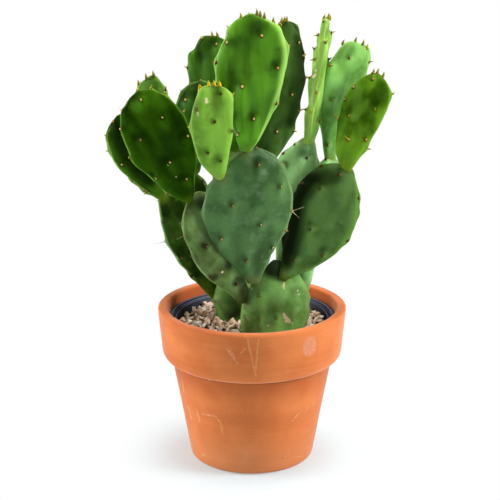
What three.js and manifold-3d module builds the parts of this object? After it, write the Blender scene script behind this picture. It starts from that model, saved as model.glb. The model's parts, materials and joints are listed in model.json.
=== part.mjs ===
// Potted paddle cactus: a prickly pear growing in a plastic nursery pot that stands in a terracotta pot.
// Millimetres, +Z up. The origin is on the ground under the middle of the pot, and -Y is the front.

import * as THREE from "three";
import { mergeVertices } from "three/addons/utils/BufferGeometryUtils.js";
import Module from "manifold-3d";

const wasm = await Module();
wasm.setup();

const deg = Math.PI / 180;
const gap = 0.3;             // clearance kept between pieces that touch
const weld = 1e-4;           // corners nearer than this are one corner

// Driving dimensions of the pots and what fills them.

const clay = {
  height: 167.5, rimRadius: 100, rimWall: 10.5, rimRound: 4, rimTaper: 2,
  collarRadius: 95.3, collarBottom: 116, collarRound: 1.5, collarDrop: 3,
  bodyRadius: 85.3, bodyTop: 111.3, bodyRound: 1, bodyWall: 9,
  footRadius: 65.2, footRound: 6, floor: 12, floorRound: 4, drainRadius: 11, segments: 36,
};

const nursery = {
  rimTop: 157, rimRadius: 86, lipDrop: 10, lipWidth: 3, lipRound: 0.6, lipTaper: 0.4, wall: 1.6,
  ledge: 8, ledgeFall: 1, footRadius: 50, floor: 2, segments: 30,
  drains: 4, drainRing: 32, drainRadius: 5, drainSides: 12,
};

const soilTop = 141;

const gravel = {
  top: 147.5, edgeFall: 1, headroom: 12, spread: 75, spacing: 12.5, tries: 900, seed: 7,
  stone: 7.6, cornerPull: 0.34, lift: 1.5, thinnest: [0.8, 0.8, 0.6], varied: [0.5, 0.4, 0.4],
};

// Driving dimensions of the plant.

const sink = 4;              // how far a pad's rounded foot runs into the pad that carries it
const edgeBlunt = 2.8;       // exponent across a pad: 2 is an ellipse, more gives blunter edges
const faceRound = 2.1;       // exponent through a pad's thickness
const waist = 0.5;           // share of its thickness that a pad keeps at its foot
const thickest = 0.45;       // share of its length where a pad is thickest
const shoulder = 3.4;        // exponent above that: more keeps the pad thick nearer to its tip
const around = 12;           // facets round a pad
const along = 12;            // facets from foot to tip
const facetAllowance = 1.08; // the facets of a skin that is pushed out lie a little inside it

const areole = { radius: 1.8, height: 2.6, sunk: 1.7, sides: 3 };
const bud = { radius: 1.6, height: 6.2, sunk: 1.6, sides: 3 };
const spine = { radius: 0.7, height: 11, sunk: 2.5, sides: 3 };
const winding = { angle: 137.508, lowest: 0.1, reach: 0.82 };
const crown = { seats: 5, top: 0.99, fall: 0.16 };
const clearOfChild = 11;     // no areole stands nearer than this to the foot of another pad
const clearOfGravel = 6;     // nor nearer than this to the gravel

// One row for each pad, from the soil up. at is where a trunk's foot stands. Any other pad grows on the
// pad called "on": seat is its place there, as millimetres right of that pad's middle line, up from its
// foot, and back from its middle plane. lean tips a pad towards +X, nod towards the front, and turn spins
// it about its own length, in degrees. long, wide and thick are millimetres. belly is the share of the
// length where the pad is widest, neck the share of the width left at its foot, swell and crown shape the
// outline below and above the belly, sweep bows it sideways in millimetres, and lop sets the belly that
// much higher on the right side than on the left.
const growth = [
  { name: "trunk_front", at: [19, -33, 100],
    lean: 7, nod: 0, turn: 8, long: 128, wide: 70, thick: 26,
    belly: 0.6, neck: 0.8, swell: 1.6, crown: 1.35, sweep: -4, lop: 0,
    areoles: 14, phase: 285 },
  { name: "trunk_back", at: [-18, 14, 100],
    lean: -5.5, nod: -2, turn: -15, long: 93, wide: 47, thick: 22,
    belly: 0.74, neck: 0.8, swell: 1.1, crown: 2.4, sweep: 7, lop: 0,
    areoles: 10, phase: 80 },

  { name: "pad_front_centre", on: "trunk_front", seat: [-31, 104, -5],
    lean: 1.5, nod: 7, turn: 6, long: 144, wide: 92, thick: 16,
    belly: 0.61, neck: 0.16, swell: 1.15, crown: 1.6, sweep: -8, lop: 0.05,
    areoles: 15, phase: 320, spines: [[0.56, 0], [0.52, 8]] },
  { name: "pad_front_right", on: "trunk_front", seat: [0, 111, -2],
    lean: 28, nod: -5, turn: -6, long: 130, wide: 70, thick: 16,
    belly: 0.64, neck: 0.15, swell: 1, crown: 1.5, sweep: 5, lop: -0.05,
    areoles: 16, phase: 350 },
  { name: "pad_front_left", on: "trunk_front", seat: [-39, 83, -3],
    lean: -24, nod: 2, turn: 30, long: 121, wide: 58, thick: 15,
    belly: 0.6, neck: 0.25, swell: 1.2, crown: 2.2, sweep: -2, lop: 0,
    areoles: 14, phase: 315, spines: [[0.55, 180]] },
  { name: "pad_back_left", on: "trunk_back", seat: [-13, 72, 0],
    lean: -25.5, nod: -2, turn: 25, long: 125, wide: 54, thick: 14,
    belly: 0.5, neck: 0.25, swell: 0.95, crown: 1.4, sweep: 4, lop: -0.1,
    areoles: 13, phase: 255, spines: [[0.45, 180], [0.86, 180]] },
  { name: "pad_back_right", on: "trunk_front", seat: [-3, 125, 9],
    lean: 14, nod: -12, turn: -14, long: 127, wide: 50, thick: 14,
    belly: 0.69, neck: 0.22, swell: 1.7, crown: 1.4, sweep: -6, lop: -0.03,
    areoles: 12, phase: 35 },
  { name: "pad_side_right", on: "trunk_front", seat: [25, 99, 3],
    lean: 12.5, nod: -18, turn: 20, long: 139, wide: 38, thick: 13,
    belly: 0.66, neck: 0.28, swell: 1.4, crown: 2.3, sweep: -7, lop: 0.03,
    areoles: 11, phase: 0 },
  { name: "pad_rear_left", on: "trunk_back", seat: [-3, 85, 3],
    lean: -19, nod: -12, turn: -10, long: 129, wide: 45, thick: 14,
    belly: 0.46, neck: 0.26, swell: 0.9, crown: 1.8, sweep: -1, lop: 0,
    areoles: 12, phase: 120 },
  { name: "pad_rear_centre", on: "trunk_back", seat: [12, 89, 2],
    lean: 2.5, nod: -16, turn: 0, long: 147, wide: 61, thick: 15,
    belly: 0.64, neck: 0.22, swell: 0.9, crown: 2.3, sweep: -1, lop: 0,
    areoles: 14, phase: 33 },

  { name: "tip_centre", on: "pad_front_centre", seat: [-12, 142, -1],
    lean: -1, nod: 2, turn: -8, long: 134, wide: 72, thick: 15,
    belly: 0.68, neck: 0.18, swell: 1.2, crown: 1.35, sweep: 8, lop: 0.08,
    areoles: 15, phase: 165, buds: 3 },
  { name: "tip_front", on: "pad_front_centre", seat: [-37, 116, -5],
    lean: -4.5, nod: 14, turn: 12, long: 99, wide: 42, thick: 12,
    belly: 0.6, neck: 0.26, swell: 1.1, crown: 3, sweep: -3, lop: 0.1,
    areoles: 13, phase: 285, buds: 5 },
  { name: "tip_rear_right", on: "pad_rear_centre", seat: [27, 132, 0],
    lean: 8, nod: -2, turn: 10, long: 146, wide: 52, thick: 14,
    belly: 0.59, neck: 0.29, swell: 0.8, crown: 1.5, sweep: 1, lop: -0.03,
    areoles: 13, phase: 170, buds: 2, spines: [[0.62, 0]] },
  { name: "tip_rear_left", on: "pad_rear_centre", seat: [-13, 136, 0],
    lean: -10.5, nod: -7, turn: -10, long: 125, wide: 64, thick: 13,
    belly: 0.52, neck: 0.26, swell: 0.9, crown: 2.3, sweep: 1, lop: -0.06,
    areoles: 13, phase: 30, buds: 2 },
  { name: "tip_edgewise", on: "pad_back_right", seat: [-1, 126, 0],
    lean: 7.5, nod: 0, turn: 84, long: 129, wide: 46, thick: 14,
    belly: 0.4, neck: 0.5, swell: 0.6, crown: 2.4, sweep: -5, lop: 0,
    areoles: 14, phase: 20, buds: 3, spines: [[0.8, 90]] },
  { name: "tip_right", on: "pad_side_right", seat: [-2, 137, 0],
    lean: 16, nod: 0, turn: 30, long: 123, wide: 50, thick: 13,
    belly: 0.74, neck: 0.29, swell: 2.2, crown: 2.8, sweep: -17, lop: -0.12,
    areoles: 11, phase: 175, buds: 3 },
  { name: "tip_far_right", on: "pad_front_right", seat: [3, 129, 0],
    lean: 20, nod: -8, turn: -20, long: 101, wide: 45, thick: 14,
    belly: 0.64, neck: 0.28, swell: 0.9, crown: 2, sweep: -4, lop: 0.05,
    areoles: 14, phase: 230, buds: 3, spines: [[0.76, 2]] },
  { name: "tip_left", on: "pad_front_left", seat: [-9, 120, -2],
    lean: -25.5, nod: 10, turn: -8, long: 125, wide: 69, thick: 14,
    belly: 0.66, neck: 0.17, swell: 1.05, crown: 1.9, sweep: 4, lop: 0.08,
    areoles: 13, phase: 270, buds: 2 },
  { name: "tip_far_left", on: "pad_back_left", seat: [-4, 123, 0],
    lean: -27.5, nod: 9, turn: 10, long: 101, wide: 54, thick: 13,
    belly: 0.5, neck: 0.24, swell: 0.75, crown: 3, sweep: 5, lop: -0.05,
    areoles: 12, phase: 125 },
  { name: "tip_left_rear", on: "pad_back_left", seat: [11, 120, 2],
    lean: -12.5, nod: -12, turn: 10, long: 125, wide: 48, thick: 13,
    belly: 0.48, neck: 0.26, swell: 0.85, crown: 2, sweep: -8, lop: 0,
    areoles: 11, phase: 30, buds: 3 },
  { name: "tip_left_inner", on: "pad_rear_left", seat: [5, 124, 0],
    lean: 6.5, nod: 4, turn: 5, long: 100, wide: 40, thick: 13,
    belly: 0.74, neck: 0.3, swell: 0.6, crown: 2.6, sweep: -7, lop: 0.1,
    areoles: 12, phase: 285, buds: 3 },
];

function random(seed) {
  let state = seed;
  return () => {
    state = (state * 1664525 + 1013904223) % 4294967296;
    return state / 4294967296;
  };
}

function welded(geometry) {
  const bare = new THREE.BufferGeometry();
  bare.setAttribute("position", geometry.getAttribute("position"));
  if (geometry.index) bare.setIndex(geometry.index);
  return mergeVertices(bare, weld);
}

function toSolid(geometry) {
  const mesh = welded(geometry);
  const corners = [];
  const index = mesh.index.array;
  for (let i = 0; i < index.length; i += 3) {
    const [a, b, c] = [index[i], index[i + 1], index[i + 2]];
    if (a !== b && b !== c && c !== a) corners.push(a, b, c);
  }
  return new wasm.Manifold(new wasm.Mesh({
    numProp: 3,
    vertProperties: Float32Array.from(mesh.getAttribute("position").array),
    triVerts: Uint32Array.from(corners),
  }));
}

function toGeometry(solid) {
  const mesh = solid.getMesh();
  const geometry = new THREE.BufferGeometry();
  geometry.setAttribute("position", new THREE.BufferAttribute(Float32Array.from(mesh.vertProperties), 3));
  geometry.setIndex(new THREE.BufferAttribute(Uint32Array.from(mesh.triVerts), 1));
  geometry.computeVertexNormals();
  return geometry;
}

function largestPiece(solid) {
  const pieces = solid.decompose();
  pieces.sort((a, b) => b.volume() - a.volume());
  return pieces[0];
}

// A profile of [radius, height] points turned about Z. One that starts on the axis ends on it too, and
// any other is closed from its last point back to its first.
function turned(profile, segments) {
  const points = profile.map(([radius, height]) => new THREE.Vector2(radius, height));
  if (profile[0][0] > 0) points.push(points[0].clone());
  const geometry = new THREE.LatheGeometry(points, segments);
  geometry.rotateX(Math.PI / 2);
  const solid = toSolid(geometry);
  return solid.volume() < 0 ? toSolid(flipped(geometry)) : solid;
}

function flipped(geometry) {
  const copy = geometry.clone();
  const index = copy.index.array;
  for (let i = 0; i < index.length; i += 3) {
    [index[i + 1], index[i + 2]] = [index[i + 2], index[i + 1]];
  }
  return copy;
}

// A quarter turn of rounding from one wall to the next, as profile points.
function rounding(centre, radius, from, to, steps) {
  const points = [];
  for (let i = 0; i <= steps; i += 1) {
    const angle = (from + (to - from) * i / steps) * deg;
    points.push([centre[0] + radius * Math.cos(angle), centre[1] + radius * Math.sin(angle)]);
  }
  return points;
}

function innerClayRadius(height) {
  const { bodyTop, bodyRadius, footRadius, bodyWall } = clay;
  return footRadius + (bodyRadius - footRadius) * height / bodyTop - bodyWall;
}

function terracottaPot() {
  const { height, rimRadius, rimRound, collarRadius, collarBottom, collarRound, collarDrop } = clay;
  const { bodyRadius, bodyTop, bodyRound, footRadius, footRound, floor, floorRound } = clay;
  const rimInner = rimRadius - clay.rimWall;
  const innerRound = rimRound - 1;
  const floorEdge = floor + floorRound;
  return turned([
    [clay.drainRadius, 0],
    ...rounding([footRadius - footRound, footRound], footRound, -90, 0, 3),
    [bodyRadius, bodyTop - bodyRound],
    [bodyRadius + bodyRound, bodyTop],
    [collarRadius - collarRound, collarBottom - collarDrop],
    [collarRadius, collarBottom],
    ...rounding([rimRadius - rimRound, height - rimRound], rimRound, 0, 90, 3),
    ...rounding([rimInner + innerRound, height - innerRound], innerRound, 90, 180, 2),
    [rimInner - clay.rimTaper, collarBottom + floorRound],
    [innerClayRadius(bodyTop) + bodyRound, bodyTop - clay.rimTaper],
    [innerClayRadius(floorEdge), floorEdge],
    [innerClayRadius(floorEdge) - floorRound, floor],
    [clay.drainRadius, floor],
  ], clay.segments);
}

function nurseryWallRadius(height) {
  const { rimTop, rimRadius, lipWidth, footRadius } = nursery;
  const foot = clay.floor + gap;
  return footRadius + (rimRadius - lipWidth - footRadius) * (height - foot) / (rimTop - foot);
}

function nurseryPot() {
  const { rimTop, rimRadius, lipDrop, lipRound, lipTaper, wall, ledge, ledgeFall, floor } = nursery;
  const foot = clay.floor + gap;
  const lipBottom = rimTop - lipDrop;
  const ledgeHeight = rimTop - ledge;
  let pot = turned([
    [0, foot],
    [nurseryWallRadius(foot), foot],
    [nurseryWallRadius(lipBottom), lipBottom],
    [rimRadius, lipBottom],
    [rimRadius, rimTop - lipRound],
    [rimRadius - lipRound, rimTop],
    [rimRadius - wall, rimTop],
    [rimRadius - wall - lipTaper, ledgeHeight],
    [nurseryWallRadius(ledgeHeight) - wall, ledgeHeight - ledgeFall],
    [nurseryWallRadius(foot + floor) - wall, foot + floor],
    [0, foot + floor],
  ], nursery.segments);
  for (let i = 0; i < nursery.drains; i += 1) {
    const angle = 2 * Math.PI * (i + 0.5) / nursery.drains;
    const { drainRadius, drainRing, drainSides } = nursery;
    const hole = new THREE.CylinderGeometry(drainRadius, drainRadius, 4 * floor, drainSides);
    hole.rotateX(Math.PI / 2);
    hole.translate(drainRing * Math.cos(angle), drainRing * Math.sin(angle), foot + floor / 2);
    pot = pot.subtract(toSolid(hole));
  }
  return pot;
}

function insideNursery(height) {
  return nurseryWallRadius(height) - nursery.wall - gap;
}

// A solid that fills the nursery pot from one height to another, its top fallen a little at the edge.
function filling(bottom, top, edgeFall) {
  return turned([
    [0, bottom],
    [insideNursery(bottom), bottom],
    [insideNursery(top - edgeFall), top - edgeFall],
    [0, top],
  ], nursery.segments);
}

// An angular chip: a box with its corners pulled about.
function stone(next, x, y) {
  const chip = welded(new THREE.BoxGeometry(gravel.stone, gravel.stone, gravel.stone));
  const position = chip.getAttribute("position");
  const pull = () => gravel.stone * gravel.cornerPull * (next() - 0.5);
  for (let i = 0; i < position.count; i += 1) {
    position.setXYZ(i, position.getX(i) + pull(), position.getY(i) + pull(), position.getZ(i) + pull());
  }
  const spin = () => 2 * Math.PI * next();
  const size = gravel.thinnest.map((least, i) => least + gravel.varied[i] * next());
  chip.applyMatrix4(new THREE.Matrix4().compose(
    new THREE.Vector3(x, y, gravel.top + gravel.lift * next()),
    new THREE.Quaternion().setFromEuler(new THREE.Euler(spin(), spin(), spin())),
    new THREE.Vector3(...size),
  ));
  return toSolid(chip);
}

// A bed of gravel with chips standing out of it, kept inside the nursery pot's wall.
function gravelMulch() {
  const next = random(gravel.seed);
  const bottom = soilTop + gap;
  const placed = [];
  const stones = [];
  for (let i = 0; i < gravel.tries; i += 1) {
    const radius = gravel.spread * Math.sqrt(next());
    const angle = 2 * Math.PI * next();
    const [x, y] = [radius * Math.cos(angle), radius * Math.sin(angle)];
    if (placed.every(([a, b]) => Math.hypot(x - a, y - b) > gravel.spacing)) {
      placed.push([x, y]);
      stones.push(stone(next, x, y));
    }
  }
  const bed = filling(bottom, gravel.top, gravel.edgeFall);
  const wallAtTop = insideNursery(gravel.top);
  const room = turned([
    [0, bottom],
    [insideNursery(bottom), bottom],
    [wallAtTop, gravel.top + gravel.headroom],
    [0, gravel.top + gravel.headroom],
  ], nursery.segments);
  return wasm.Manifold.union([bed, ...stones]).intersect(room);
}

// Half width of a pad at a share u of its length, on its left (side < 0) or right.
function halfWidth(pad, u, side) {
  const belly = pad.belly + pad.lop * Math.sign(side);
  if (u < 0) return pad.wide / 2 * pad.neck * foot(pad, u);
  if (u < belly) {
    const rise = Math.sin(Math.PI / 2 * u / belly) ** pad.swell;
    return pad.wide / 2 * (pad.neck + (1 - pad.neck) * rise);
  }
  return pad.wide / 2 * Math.sqrt(Math.max(0, 1 - ((u - belly) / (1 - belly)) ** pad.crown));
}

function halfThickness(pad, u) {
  if (u < 0) return pad.thick / 2 * waist * foot(pad, u);
  if (u < thickest) {
    return pad.thick / 2 * (waist + (1 - waist) * Math.sin(Math.PI / 2 * u / thickest));
  }
  const past = (u - thickest) / (1 - thickest);
  return pad.thick / 2 * Math.sqrt(Math.max(0, 1 - past ** shoulder));
}

// The rounded foot below u = 0, which is hidden in the pad that carries this one.
function foot(pad, u) {
  return Math.sqrt(Math.max(0, 1 - (u * pad.long / sink) ** 2));
}

// A point of the pad's skin: u along it, side and face as shares of its half width and thickness.
function skinPoint(pad, u, side, face) {
  const shift = pad.sweep * 4 * Math.max(0, u) * (1 - Math.max(0, u));
  return new THREE.Vector3(
    halfWidth(pad, u, side) * side + shift,
    -halfThickness(pad, u) * face,
    u * pad.long,
  );
}

// The blunt oval section of a pad, at an angle round it: 0 is the right edge, 90 the front.
function sectionAt(angle) {
  const side = Math.cos(angle * deg);
  const face = Math.sin(angle * deg);
  const blunt = Math.abs(side) ** edgeBlunt + Math.abs(face) ** faceRound;
  return [side / blunt ** (1 / edgeBlunt), face / blunt ** (1 / faceRound)];
}

function outward(pad, u, angle) {
  const step = 0.004;
  const here = (v, a) => skinPoint(pad, v, ...sectionAt(a));
  const rise = here(u + step, angle).sub(here(u - step, angle));
  const turn = here(u, angle - 1).sub(here(u, angle + 1));
  return turn.cross(rise).normalize();
}

// The bare pad: a sphere pulled over the pad's skin.
function padSkin(pad) {
  const ball = welded(new THREE.SphereGeometry(1, around, along));
  const position = ball.getAttribute("position");
  for (let i = 0; i < position.count; i += 1) {
    const climbed = (1 + position.getY(i)) / 2;
    const u = (climbed * (pad.long + sink) - sink) / pad.long;
    const angle = Math.atan2(position.getZ(i), position.getX(i)) / deg;
    const point = skinPoint(pad, u, ...sectionAt(angle));
    position.setXYZ(i, point.x, point.y, point.z);
  }
  return ball;
}

// The same skin pushed out by the clearance, to cut the seats of what grows on the pad.
function padClearance(pad) {
  const skin = padSkin(pad);
  skin.computeVertexNormals();
  const position = skin.getAttribute("position");
  const normal = skin.getAttribute("normal");
  for (let i = 0; i < position.count; i += 1) {
    const push = new THREE.Vector3().fromBufferAttribute(normal, i).multiplyScalar(gap * facetAllowance);
    position.setXYZ(i, position.getX(i) + push.x, position.getY(i) + push.y, position.getZ(i) + push.z);
  }
  return toSolid(skin);
}

// A cone standing on the skin, its root sunk in.
function coneOn(pad, u, angle, shape) {
  const cone = new THREE.ConeGeometry(shape.radius, shape.height, shape.sides);
  cone.translate(0, shape.height / 2 - shape.sunk, 0);
  const normal = outward(pad, u, angle);
  cone.applyQuaternion(new THREE.Quaternion().setFromUnitVectors(new THREE.Vector3(0, 1, 0), normal));
  const point = skinPoint(pad, u, ...sectionAt(angle));
  cone.translate(point.x, point.y, point.z);
  return toSolid(cone);
}

// Areoles wind up the pad by the golden angle. More stand along its crown, where the middle ones of a
// young pad hold leaf buds, and a few pads hold long spines.
function skinSeats(pad) {
  const seats = [];
  for (let i = 0; i < pad.areoles; i += 1) {
    const u = winding.lowest + winding.reach * (i + 0.5) / pad.areoles;
    seats.push({ u, angle: pad.phase + i * winding.angle, shape: areole });
  }
  for (let i = 0; i < crown.seats; i += 1) {
    const step = Math.ceil(i / 2) * (i % 2 ? -1 : 1);
    const across = 2 * step / crown.seats;
    const u = crown.top - crown.fall * across * across;
    seats.push({ u, angle: across < 0 ? 180 : 0, shape: i < (pad.buds ?? 0) ? bud : areole });
  }
  for (const [u, angle] of pad.spines ?? []) seats.push({ u, angle, shape: spine });
  return seats;
}

function place(pad, placed) {
  if (pad.at) return new THREE.Vector3(...pad.at);
  const [across, up, back] = pad.seat;
  return new THREE.Vector3(across, back, up).applyMatrix4(placed.get(pad.on).matrix);
}

function growPads() {
  const placed = new Map();
  for (const pad of growth) {
    const turn = new THREE.Euler(pad.nod * deg, pad.lean * deg, pad.turn * deg, "YXZ");
    const matrix = new THREE.Matrix4().makeRotationFromEuler(turn).setPosition(place(pad, placed));
    placed.set(pad.name, { pad, turn, matrix, inverse: matrix.clone().invert() });
  }
  for (const grown of placed.values()) shapePad(grown, placed);
  return placed;
}

// A pad with all that stands on its skin, cut clear of the pads that grew before it.
function shapePad(grown, placed) {
  const { pad, matrix, inverse } = grown;
  const children = growth.filter((other) => other.on === pad.name).map((other) => place(other, placed));
  const away = skinSeats(pad).filter(({ u, angle }) => {
    const point = skinPoint(pad, u, ...sectionAt(angle)).applyMatrix4(matrix);
    const clear = children.every((seat) => seat.distanceTo(point) > clearOfChild);
    return clear && point.z > gravel.top + clearOfGravel;
  });
  const cones = away.map(({ u, angle, shape }) => coneOn(pad, u, angle, shape));
  let solid = wasm.Manifold.union([toSolid(padSkin(pad)), ...cones]);
  for (const other of placed.values()) {
    if (other === grown) break;
    const move = inverse.clone().multiply(other.matrix);
    solid = solid.subtract(other.clearance.transform(move.elements));
  }
  grown.solid = largestPiece(solid);
  grown.clearance = wasm.Manifold.union([padClearance(pad), ...cones]);
}

const finishes = {
  terracotta: { color: 0xc9784a, roughness: 0.85 },
  nurseryPlastic: { color: 0x1b2330, roughness: 0.45 },
  soil: { color: 0x3b2a1e, roughness: 1 },
  gravel: { color: 0xb3a396, roughness: 0.9 },
  oldPad: { color: 0x55704f, roughness: 0.6 },
  youngPad: { color: 0x4f8a2c, roughness: 0.4 },
};

function named(name, solid, finish) {
  const material = new THREE.MeshStandardMaterial({ ...finishes[finish], metalness: 0 });
  const mesh = new THREE.Mesh(toGeometry(solid), material);
  mesh.name = name;
  return mesh;
}

const plant = growPads();
const stems = [...plant.values()].filter(({ pad }) => pad.at);

function withStemHoles(solid) {
  return stems.reduce((rest, stem) => (
    rest.subtract(stem.clearance.transform(stem.matrix.elements))
  ), solid);
}

const soilBottom = clay.floor + gap + nursery.floor + gap;
const pottingSoil = withStemHoles(filling(soilBottom, soilTop, 0));

const assembly = new THREE.Group();
assembly.add(named("terracotta_pot", terracottaPot(), "terracotta"));
assembly.add(named("nursery_pot", nurseryPot(), "nurseryPlastic"));
assembly.add(named("potting_soil", pottingSoil, "soil"));
assembly.add(named("gravel_mulch", largestPiece(withStemHoles(gravelMulch())), "gravel"));
for (const { pad, turn, matrix, solid } of plant.values()) {
  const carries = growth.some((other) => other.on === pad.name);
  const mesh = named(pad.name, solid, carries ? "oldPad" : "youngPad");
  mesh.position.setFromMatrixPosition(matrix);
  mesh.rotation.copy(turn);
  assembly.add(mesh);
}

export default assembly;
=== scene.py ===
# Looks of a potted paddle cactus: pads, areoles, gravel and both pots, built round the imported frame.
# Lengths in the dictionaries are millimetres; every finished mesh is in metres.

import json
import math
import random

import bmesh
import bpy
from mathutils import Euler, Matrix, Vector, noise
from mathutils.bvhtree import BVHTree
from mathutils.kdtree import KDTree

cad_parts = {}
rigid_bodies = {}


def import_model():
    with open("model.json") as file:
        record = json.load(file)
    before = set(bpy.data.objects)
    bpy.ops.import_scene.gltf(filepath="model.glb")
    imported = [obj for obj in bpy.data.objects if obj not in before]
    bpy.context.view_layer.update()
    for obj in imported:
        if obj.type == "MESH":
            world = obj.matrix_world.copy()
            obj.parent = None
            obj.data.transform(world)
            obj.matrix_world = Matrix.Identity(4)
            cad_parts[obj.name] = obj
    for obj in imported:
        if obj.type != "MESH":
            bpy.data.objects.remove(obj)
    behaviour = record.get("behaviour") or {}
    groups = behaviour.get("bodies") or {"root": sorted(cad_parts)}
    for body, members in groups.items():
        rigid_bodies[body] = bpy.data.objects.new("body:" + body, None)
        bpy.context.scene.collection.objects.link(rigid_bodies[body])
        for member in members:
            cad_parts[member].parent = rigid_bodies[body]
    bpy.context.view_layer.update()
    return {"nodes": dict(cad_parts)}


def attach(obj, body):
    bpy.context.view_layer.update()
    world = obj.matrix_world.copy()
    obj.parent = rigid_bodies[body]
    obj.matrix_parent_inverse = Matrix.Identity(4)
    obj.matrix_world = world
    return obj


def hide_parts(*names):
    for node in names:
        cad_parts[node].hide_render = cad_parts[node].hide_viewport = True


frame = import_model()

mm = 0.001
toMetres = Matrix.Scale(mm, 4)
scene = bpy.context.scene


# Camera at the photograph's viewing angle. Pixels below are in its 500 x 500 frame.

view = dict(place=(-2.1, -1500, 663), pitch=16.18, focal=1485, frame=500, sensor=36)


def makeCamera():
    data = bpy.data.cameras.new("view_camera")
    data.sensor_width = view["sensor"]
    data.lens = view["focal"] * view["sensor"] / view["frame"]
    camera = bpy.data.objects.new("view_camera", data)
    camera.location = Vector(view["place"]) * mm
    camera.rotation_euler = (math.radians(90 - view["pitch"]), 0, 0)
    scene.collection.objects.link(camera)
    scene.camera = camera


def rayThrough(pixel):
    pitch = math.radians(view["pitch"])
    ahead = Vector((0, math.cos(pitch), -math.sin(pitch)))
    above = Vector((0, math.sin(pitch), math.cos(pitch)))
    half = view["frame"] / 2
    across = (pixel[0] - half) / view["focal"]
    rise = (half - pixel[1]) / view["focal"]
    return Vector(view["place"]), (ahead + Vector((1, 0, 0)) * across + above * rise).normalized()


# Shader maths: a socket that takes part in Python expressions, and a builder for a node tree.

class Wire:
    def __init__(self, finish, socket):
        self.finish = finish
        self.socket = socket

    def maths(self, operation, first, second):
        return self.finish.node("ShaderNodeMath", {"operation": operation}, {0: first, 1: second})

    def __add__(self, other):
        return self.maths("ADD", self, other)

    def __radd__(self, other):
        return self.maths("ADD", other, self)

    def __sub__(self, other):
        return self.maths("SUBTRACT", self, other)

    def __rsub__(self, other):
        return self.maths("SUBTRACT", other, self)

    def __mul__(self, other):
        return self.maths("MULTIPLY", self, other)

    def __rmul__(self, other):
        return self.maths("MULTIPLY", other, self)

    def __truediv__(self, other):
        return self.maths("DIVIDE", self, other)

    def __rtruediv__(self, other):
        return self.maths("DIVIDE", other, self)

    def __pow__(self, other):
        return self.maths("POWER", self, other)

    def __rpow__(self, other):
        return self.maths("POWER", other, self)


class Finish:
    def __init__(self, name, tree=None):
        if tree is None:
            self.material = bpy.data.materials.new(name)
            self.material.use_nodes = True
            tree = self.material.node_tree
        self.tree = tree
        self.tree.nodes.clear()

    def node(self, kind, settings=None, inputs=None, out=0):
        made = self.tree.nodes.new(kind)
        for word, value in (settings or {}).items():
            if word == "stops":
                self.setStops(made.color_ramp, value)
            else:
                setattr(made, word, value)
        for key, value in (inputs or {}).items():
            if isinstance(value, Wire):
                self.tree.links.new(value.socket, made.inputs[key])
            else:
                made.inputs[key].default_value = value
        return Wire(self, made.outputs[out]) if made.outputs else made

    def setStops(self, ramp, stops):
        while len(ramp.elements) < len(stops):
            ramp.elements.new(1)
        for element, (place, colour) in zip(ramp.elements, stops):
            element.position = place
            element.color = colour

    def attribute(self, word, out="Fac"):
        return self.node("ShaderNodeAttribute", {"attribute_name": word}, out=out)

    def place(self):
        return self.node("ShaderNodeTexCoord", out="Object")

    def stretch(self, vector, scale, shift):
        values = {"Vector": vector, "Scale": scale, "Location": (shift, shift, shift)}
        return self.node("ShaderNodeMapping", None, values)

    def cloud(self, vector, size, detail=2, rough=0.5, stretch=(1, 1, 1), shift=0):
        scaled = self.stretch(vector, [share / size for share in stretch], shift)
        values = {"Vector": scaled, "Scale": 1, "Detail": detail, "Roughness": rough}
        return self.node("ShaderNodeTexNoise", None, values)

    def cells(self, vector, size, shift=0):
        scaled = self.stretch(vector, [1 / size] * 3, shift)
        return self.node("ShaderNodeTexVoronoi", None, {"Vector": scaled, "Scale": 1})

    def split(self, vector):
        first = self.node("ShaderNodeSeparateXYZ", None, {0: vector})
        return [Wire(self, socket) for socket in first.socket.node.outputs]

    def smooth(self, value, low, high, start=0, end=1):
        values = {"Value": value, "From Min": low, "From Max": high, "To Min": start, "To Max": end}
        return self.node("ShaderNodeMapRange", {"interpolation_type": "SMOOTHSTEP"}, values)

    def mix(self, share, first, second):
        return self.node("ShaderNodeMix", {"data_type": "RGBA"}, {0: share, 6: first, 7: second}, out=2)

    # Lays coats over a colour. A coat is a mask, where it starts and ends, its share and its colour, or
    # only a share and a colour.
    def paint(self, colour, *coats):
        for *mask, share, over in coats:
            if mask:
                share = self.smooth(*mask) * share
            colour = self.mix(share, colour, over)
        return colour

    def bump(self, height, distance, strength):
        values = {"Height": height, "Distance": distance * mm, "Strength": strength}
        return self.node("ShaderNodeBump", None, values)

    def done(self, colour, rough, normal=None, gloss=0.5, more=None):
        inputs = {"Base Color": colour, "Roughness": rough, "Specular IOR Level": gloss, **(more or {})}
        if normal:
            inputs["Normal"] = normal
        shader = self.node("ShaderNodeBsdfPrincipled", None, inputs)
        self.node("ShaderNodeOutputMaterial", None, {"Surface": shader})
        return self.material


# A colour as a picture shows it, 0 to 255, made linear for the shaders.
def tone(red, green, blue):
    def linear(value):
        share = value / 255
        return share / 12.92 if share < 0.04045 else ((share + 0.055) / 1.055) ** 2.4
    return (linear(red), linear(green), linear(blue), 1)


def addObject(name, shape, material, smooth):
    mesh = bpy.data.meshes.new(name)
    shape.to_mesh(mesh)
    shape.free()
    if smooth:
        mesh.shade_smooth()
    else:
        mesh.shade_flat()
    mesh.materials.append(material)
    made = bpy.data.objects.new(name, mesh)
    scene.collection.objects.link(made)
    return made


def addPiece(name, shape, material, node=None, smooth=True):
    piece = addObject(name, shape, material, smooth)
    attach(piece, "root")
    if node:
        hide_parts(node)


# Empties a small bmesh into a large one with the same layers, because operators slow down on large ones.
def pour(small, large):
    mesh = bpy.data.meshes.new("batch")
    small.to_mesh(mesh)
    small.free()
    large.from_mesh(mesh)
    bpy.data.meshes.remove(mesh)


def newShape(*words):
    shape = bmesh.new()
    for word in words:
        shape.verts.layers.float.new(word)
    return shape


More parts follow.
